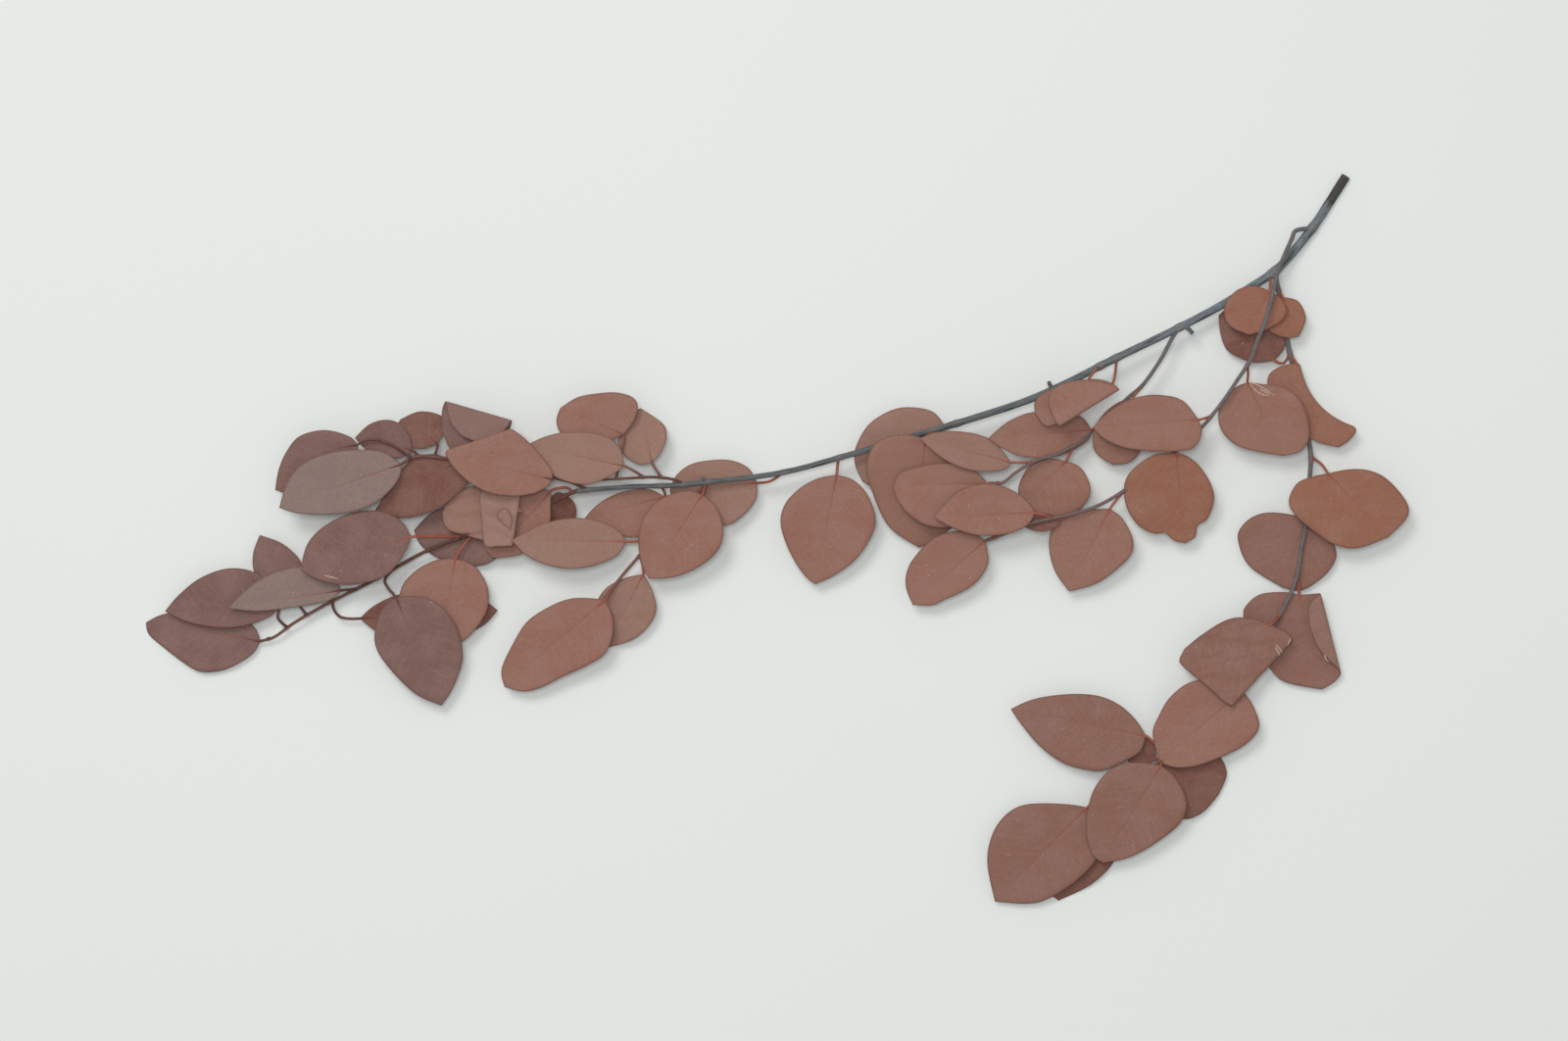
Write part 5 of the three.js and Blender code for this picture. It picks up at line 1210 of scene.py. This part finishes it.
class BranchStageSettings(bpy.types.PropertyGroup):
    """Floor, light and camera."""

    floor: colour_property("Floor", "Pale floor", (0.785, 0.805, 0.79))
    floor_size: distance_property("Floor size", "Side of the floor", 8.0)
    view_width: distance_property("View width", "Width of floor that the camera sees", 0.8)
    view_centre: bpy.props.FloatVectorProperty(
        name="View centre", description="Point of the floor in the middle of the picture", size=2,
        default=(4.49 * MM, 9.16 * MM), subtype="TRANSLATION", unit="LENGTH",
    )
    camera_height: distance_property("Camera height", "Height of the camera over the floor", 2.6)
    key_power: bpy.props.FloatProperty(
        name="Key light", description="Power of the large soft light", default=51.0, min=0.0, unit="POWER",
    )
    top_power: bpy.props.FloatProperty(
        name="Top light", description="Power of the light over the camera", default=31.0, min=0.0,
        unit="POWER",
    )
    sky_strength: bpy.props.FloatProperty(
        name="Sky light", description="Strength of the even light all round", default=0.4, min=0.0,
    )
    sky: colour_property("Sky", "Colour of the even light", (0.96, 1.0, 0.985))


class BRANCH_OT_main_stem(bpy.types.Operator):
    """Build the main stem with its bark, stubs and cut end."""

    bl_idname = "branch.main_stem"
    bl_label = "Main Stem"

    def execute(self, context):
        shape = Shape()
        curve = smooth_curve(STEM_ROUTE, 0.5, True)
        starts = [shoot["twig"][0] for shoot in SHOOTS.values()]
        starts += [leaf["stalk"][0] for leaf in STEM_LEAVES]
        nodes = [nearest_along(curve, start) for start in starts]
        add_tube(shape, curve, tapered(STEM_RADIUS_CUT, STEM_RADIUS_END), STEM_SIDES, STEM_STEP, 0,
                 STEM_SEED, nodes, ridges=STEM_RIDGES, open_start=True)
        for number, route in enumerate(STEM_STUBS):
            stub = smooth_curve(route, 0.5, True)
            add_tube(shape, stub, tapered(STUB_RADIUS, STUB_END_RADIUS), TWIG_SIDES, STUB_STEP, 0,
                     STUB_SEED + number, ridges=STUB_RIDGES,
                     noted_start=nearest_along(curve, route[0]))
        add_cut_face(shape, STEM_SIDES, 1)
        materials = [painted("grey_bark", paint_bark), painted("cut_wood", paint_cut_wood)]
        shape.piece("main_stem_bark", "main_stem", "bark", materials)
        return {"FINISHED"}


def add_cut_face(shape, sides, finish):
    """The face of the cut, dished a little, inside the first ring of the stem's points."""
    ring = shape.points[0][:sides]
    centre = ring.mean(axis=0)
    outward = unit(np.cross(ring[sides // 4] - centre, ring[0] - centre))
    points = [centre + (ring - centre) * share - outward * CUT_DISH * (1 - share) for share in CUT_RINGS]
    points.append((centre - outward * CUT_DISH)[None, :])
    faces = []
    for level in range(len(CUT_RINGS) - 1):
        for side in range(sides):
            a, b = level * sides + side, level * sides + (side + 1) % sides
            faces.append([a, b, b + sides, a + sides])
    last = (len(CUT_RINGS) - 1) * sides
    faces.extend([last + side, last + (side + 1) % sides, last + sides] for side in range(sides))
    out = np.concatenate([np.repeat(CUT_RINGS, sides), [0.0]])
    place = np.column_stack([out, np.zeros_like(out), np.zeros_like(out)])
    shape.add(np.vstack(points), faces, finish, place, (0.0, 0.0, 0.0))


class BRANCH_OT_shoot_twigs(bpy.types.Operator):
    """Build the twig and the leaf stalks of every leafy shoot."""

    bl_idname = "branch.shoot_twigs"
    bl_label = "Twigs and Stalks"

    def execute(self, context):
        stem = context.scene.branch_stem
        materials = [painted("twig_skin", paint_twig), painted("stalk_skin", paint_stalk)]
        blades = numbered_blades()
        for number, (name, shoot) in enumerate(SHOOTS.items()):
            shape = Shape()
            curve = smooth_curve(shoot["twig"], 0.5, True)
            nodes = [nearest_along(curve, leaf["stalk"][0]) for leaf in SHOOT_LEAVES[name]]
            add_tube(shape, curve, tapered(*shoot["radius"]), TWIG_SIDES, TWIG_STEP, 0,
                     TWIG_SEED_STEP * number, nodes, ridges=TWIG_RIDGES,
                     tint=getattr(stem, shoot["twig_tone"]))
            for blade in blades[name]:
                tone = blade.leaf.get("stalk_tone", shoot["stalk_tone"])
                add_stalk(shape, blade, 1, getattr(stem, tone))
            shape.piece(f"{name}_twig", name, "bark", materials)
        return {"FINISHED"}


class BRANCH_OT_shoot_leaves(bpy.types.Operator):
    """Build the leaves of every leafy shoot."""

    bl_idname = "branch.shoot_leaves"
    bl_label = "Leaves on Shoots"

    def execute(self, context):
        leaf = context.scene.branch_leaf
        materials = [painted("leaf_skin", paint_leaf), painted("torn_fibre", paint_fibre)]
        blades = numbered_blades()
        for name, shoot in SHOOTS.items():
            shape = Shape()
            for blade in blades[name]:
                add_blade(shape, blade, getattr(leaf, blade.leaf["tone"]))
                add_fibres(shape, blade, 1)
            if name == SHREDDED_SHOOT:
                for number, shred in enumerate(SHREDS):
                    add_blade(shape, Blade(shred, number), getattr(leaf, shred["tone"]))
            shape.piece(f"{name}_leaves", name, shoot["slot"], materials)
        return {"FINISHED"}


class BRANCH_OT_stem_leaves(bpy.types.Operator):
    """Build the single leaves that grow straight from the main stem, each with its stalk."""

    bl_idname = "branch.stem_leaves"
    bl_label = "Leaves on Stem"

    def execute(self, context):
        leaf = context.scene.branch_leaf
        materials = [painted("leaf_skin", paint_leaf), painted("stalk_skin", paint_stalk)]
        blades = numbered_blades()
        for index in range(1, len(STEM_LEAVES) + 1):
            name = f"stem_leaf_{index}"
            blade = blades[name][0]
            shape = Shape()
            add_blade(shape, blade, getattr(leaf, blade.leaf["tone"]))
            add_stalk(shape, blade, 1, context.scene.branch_stem.red)
            shape.piece(f"{name}_blade", name, "dry_leaf", materials)
        return {"FINISHED"}


def paint_floor(tree, shader):
    """Smooth pale board with the faintest mottling."""
    stage = bpy.context.scene.branch_stage
    place = add_node(tree, "ShaderNodeTexCoord").outputs["Object"]
    cloud = add_node(tree, "ShaderNodeTexNoise", {"Vector": place, "Scale": 3.0, "Detail": 2.0})
    pale = colour(stage.floor)
    dim = colour([part * FLOOR_DIM for part in stage.floor])
    tree.links.new(mixed(tree, cloud.outputs[0], pale, dim), shader.inputs["Base Color"])
    shader.inputs["Roughness"].default_value = 0.7
    shader.inputs["Specular IOR Level"].default_value = 0.2


def add_soft_light(name, place, size, power, tone):
    """A large soft light that points at the branch."""
    lamp = bpy.data.lights.new(name, "AREA")
    lamp.shape = "DISK"
    lamp.size = size
    lamp.energy = power
    lamp.color = tone
    light = bpy.data.objects.new(name, lamp)
    light.location = place
    light.rotation_euler = Vector(place).to_track_quat("Z", "Y").to_euler()
    bpy.context.collection.objects.link(light)


class BRANCH_OT_stage(bpy.types.Operator):
    """Build the floor, the light and the camera straight above."""

    bl_idname = "branch.stage"
    bl_label = "Stage"

    def execute(self, context):
        scene = context.scene
        stage = scene.branch_stage
        half = stage.floor_size / 2
        mesh = bpy.data.meshes.new("pale_floor")
        corners = [(-half, -half, 0), (half, -half, 0), (half, half, 0), (-half, half, 0)]
        mesh.from_pydata(corners, [], [(0, 1, 2, 3)])
        mesh.materials.append(painted("pale_board", paint_floor))
        floor = bpy.data.objects.new("pale_floor", mesh)
        scene.collection.objects.link(floor)
        add_soft_light("key_light", KEY_PLACE, KEY_SIZE, stage.key_power, KEY_TONE)
        add_soft_light("top_light", TOP_PLACE, TOP_SIZE, stage.top_power, TOP_TONE)
        world = bpy.data.worlds.new("even_light")
        world.use_nodes = True
        background = world.node_tree.nodes["Background"]
        background.inputs["Color"].default_value = colour(stage.sky)
        background.inputs["Strength"].default_value = stage.sky_strength
        scene.world = world
        lens = bpy.data.cameras.new("overhead_camera")
        lens.sensor_fit = "HORIZONTAL"
        lens.sensor_width = SENSOR_WIDTH
        lens.lens = lens.sensor_width * stage.camera_height / stage.view_width
        lens.clip_end = VIEW_DEPTH
        camera = bpy.data.objects.new("overhead_camera", lens)
        camera.location = (*stage.view_centre, stage.camera_height)
        scene.collection.objects.link(camera)
        scene.camera = camera
        scene.view_settings.view_transform = "Standard"
        return {"FINISHED"}


class BRANCH_PT_sidebar(bpy.types.Panel):
    """The steps that build the branch, and the sizes and colours that they use."""

    bl_label = "Eucalyptus Branch"
    bl_idname = "BRANCH_PT_sidebar"
    bl_space_type = "VIEW_3D"
    bl_region_type = "UI"
    bl_category = "Branch"

    def draw(self, context):
        for step in STEPS:
            self.layout.operator(step.bl_idname)
        for group in SETTINGS:
            box = self.layout.box()
            values = getattr(context.scene, group)
            for name in values.bl_rna.properties.keys():
                if name not in ("rna_type", "name"):
                    box.prop(values, name)


STEPS = (BRANCH_OT_main_stem, BRANCH_OT_shoot_twigs, BRANCH_OT_shoot_leaves, BRANCH_OT_stem_leaves,
         BRANCH_OT_stage)
SETTINGS = {
    "branch_leaf": BranchLeafSettings,
    "branch_stem": BranchStemSettings,
    "branch_stage": BranchStageSettings,
}


def register():
    for part in (*SETTINGS.values(), *STEPS, BRANCH_PT_sidebar):
        bpy.utils.register_class(part)
    for name, group in SETTINGS.items():
        setattr(bpy.types.Scene, name, bpy.props.PointerProperty(type=group))


def unregister():
    for name in SETTINGS:
        delattr(bpy.types.Scene, name)
    for part in reversed((*SETTINGS.values(), *STEPS, BRANCH_PT_sidebar)):
        bpy.utils.unregister_class(part)


def main():
    register()
    bpy.ops.branch.main_stem()
    bpy.ops.branch.shoot_twigs()
    bpy.ops.branch.shoot_leaves()
    bpy.ops.branch.stem_leaves()
    bpy.ops.branch.stage()


if __name__ == "__main__":
    main()
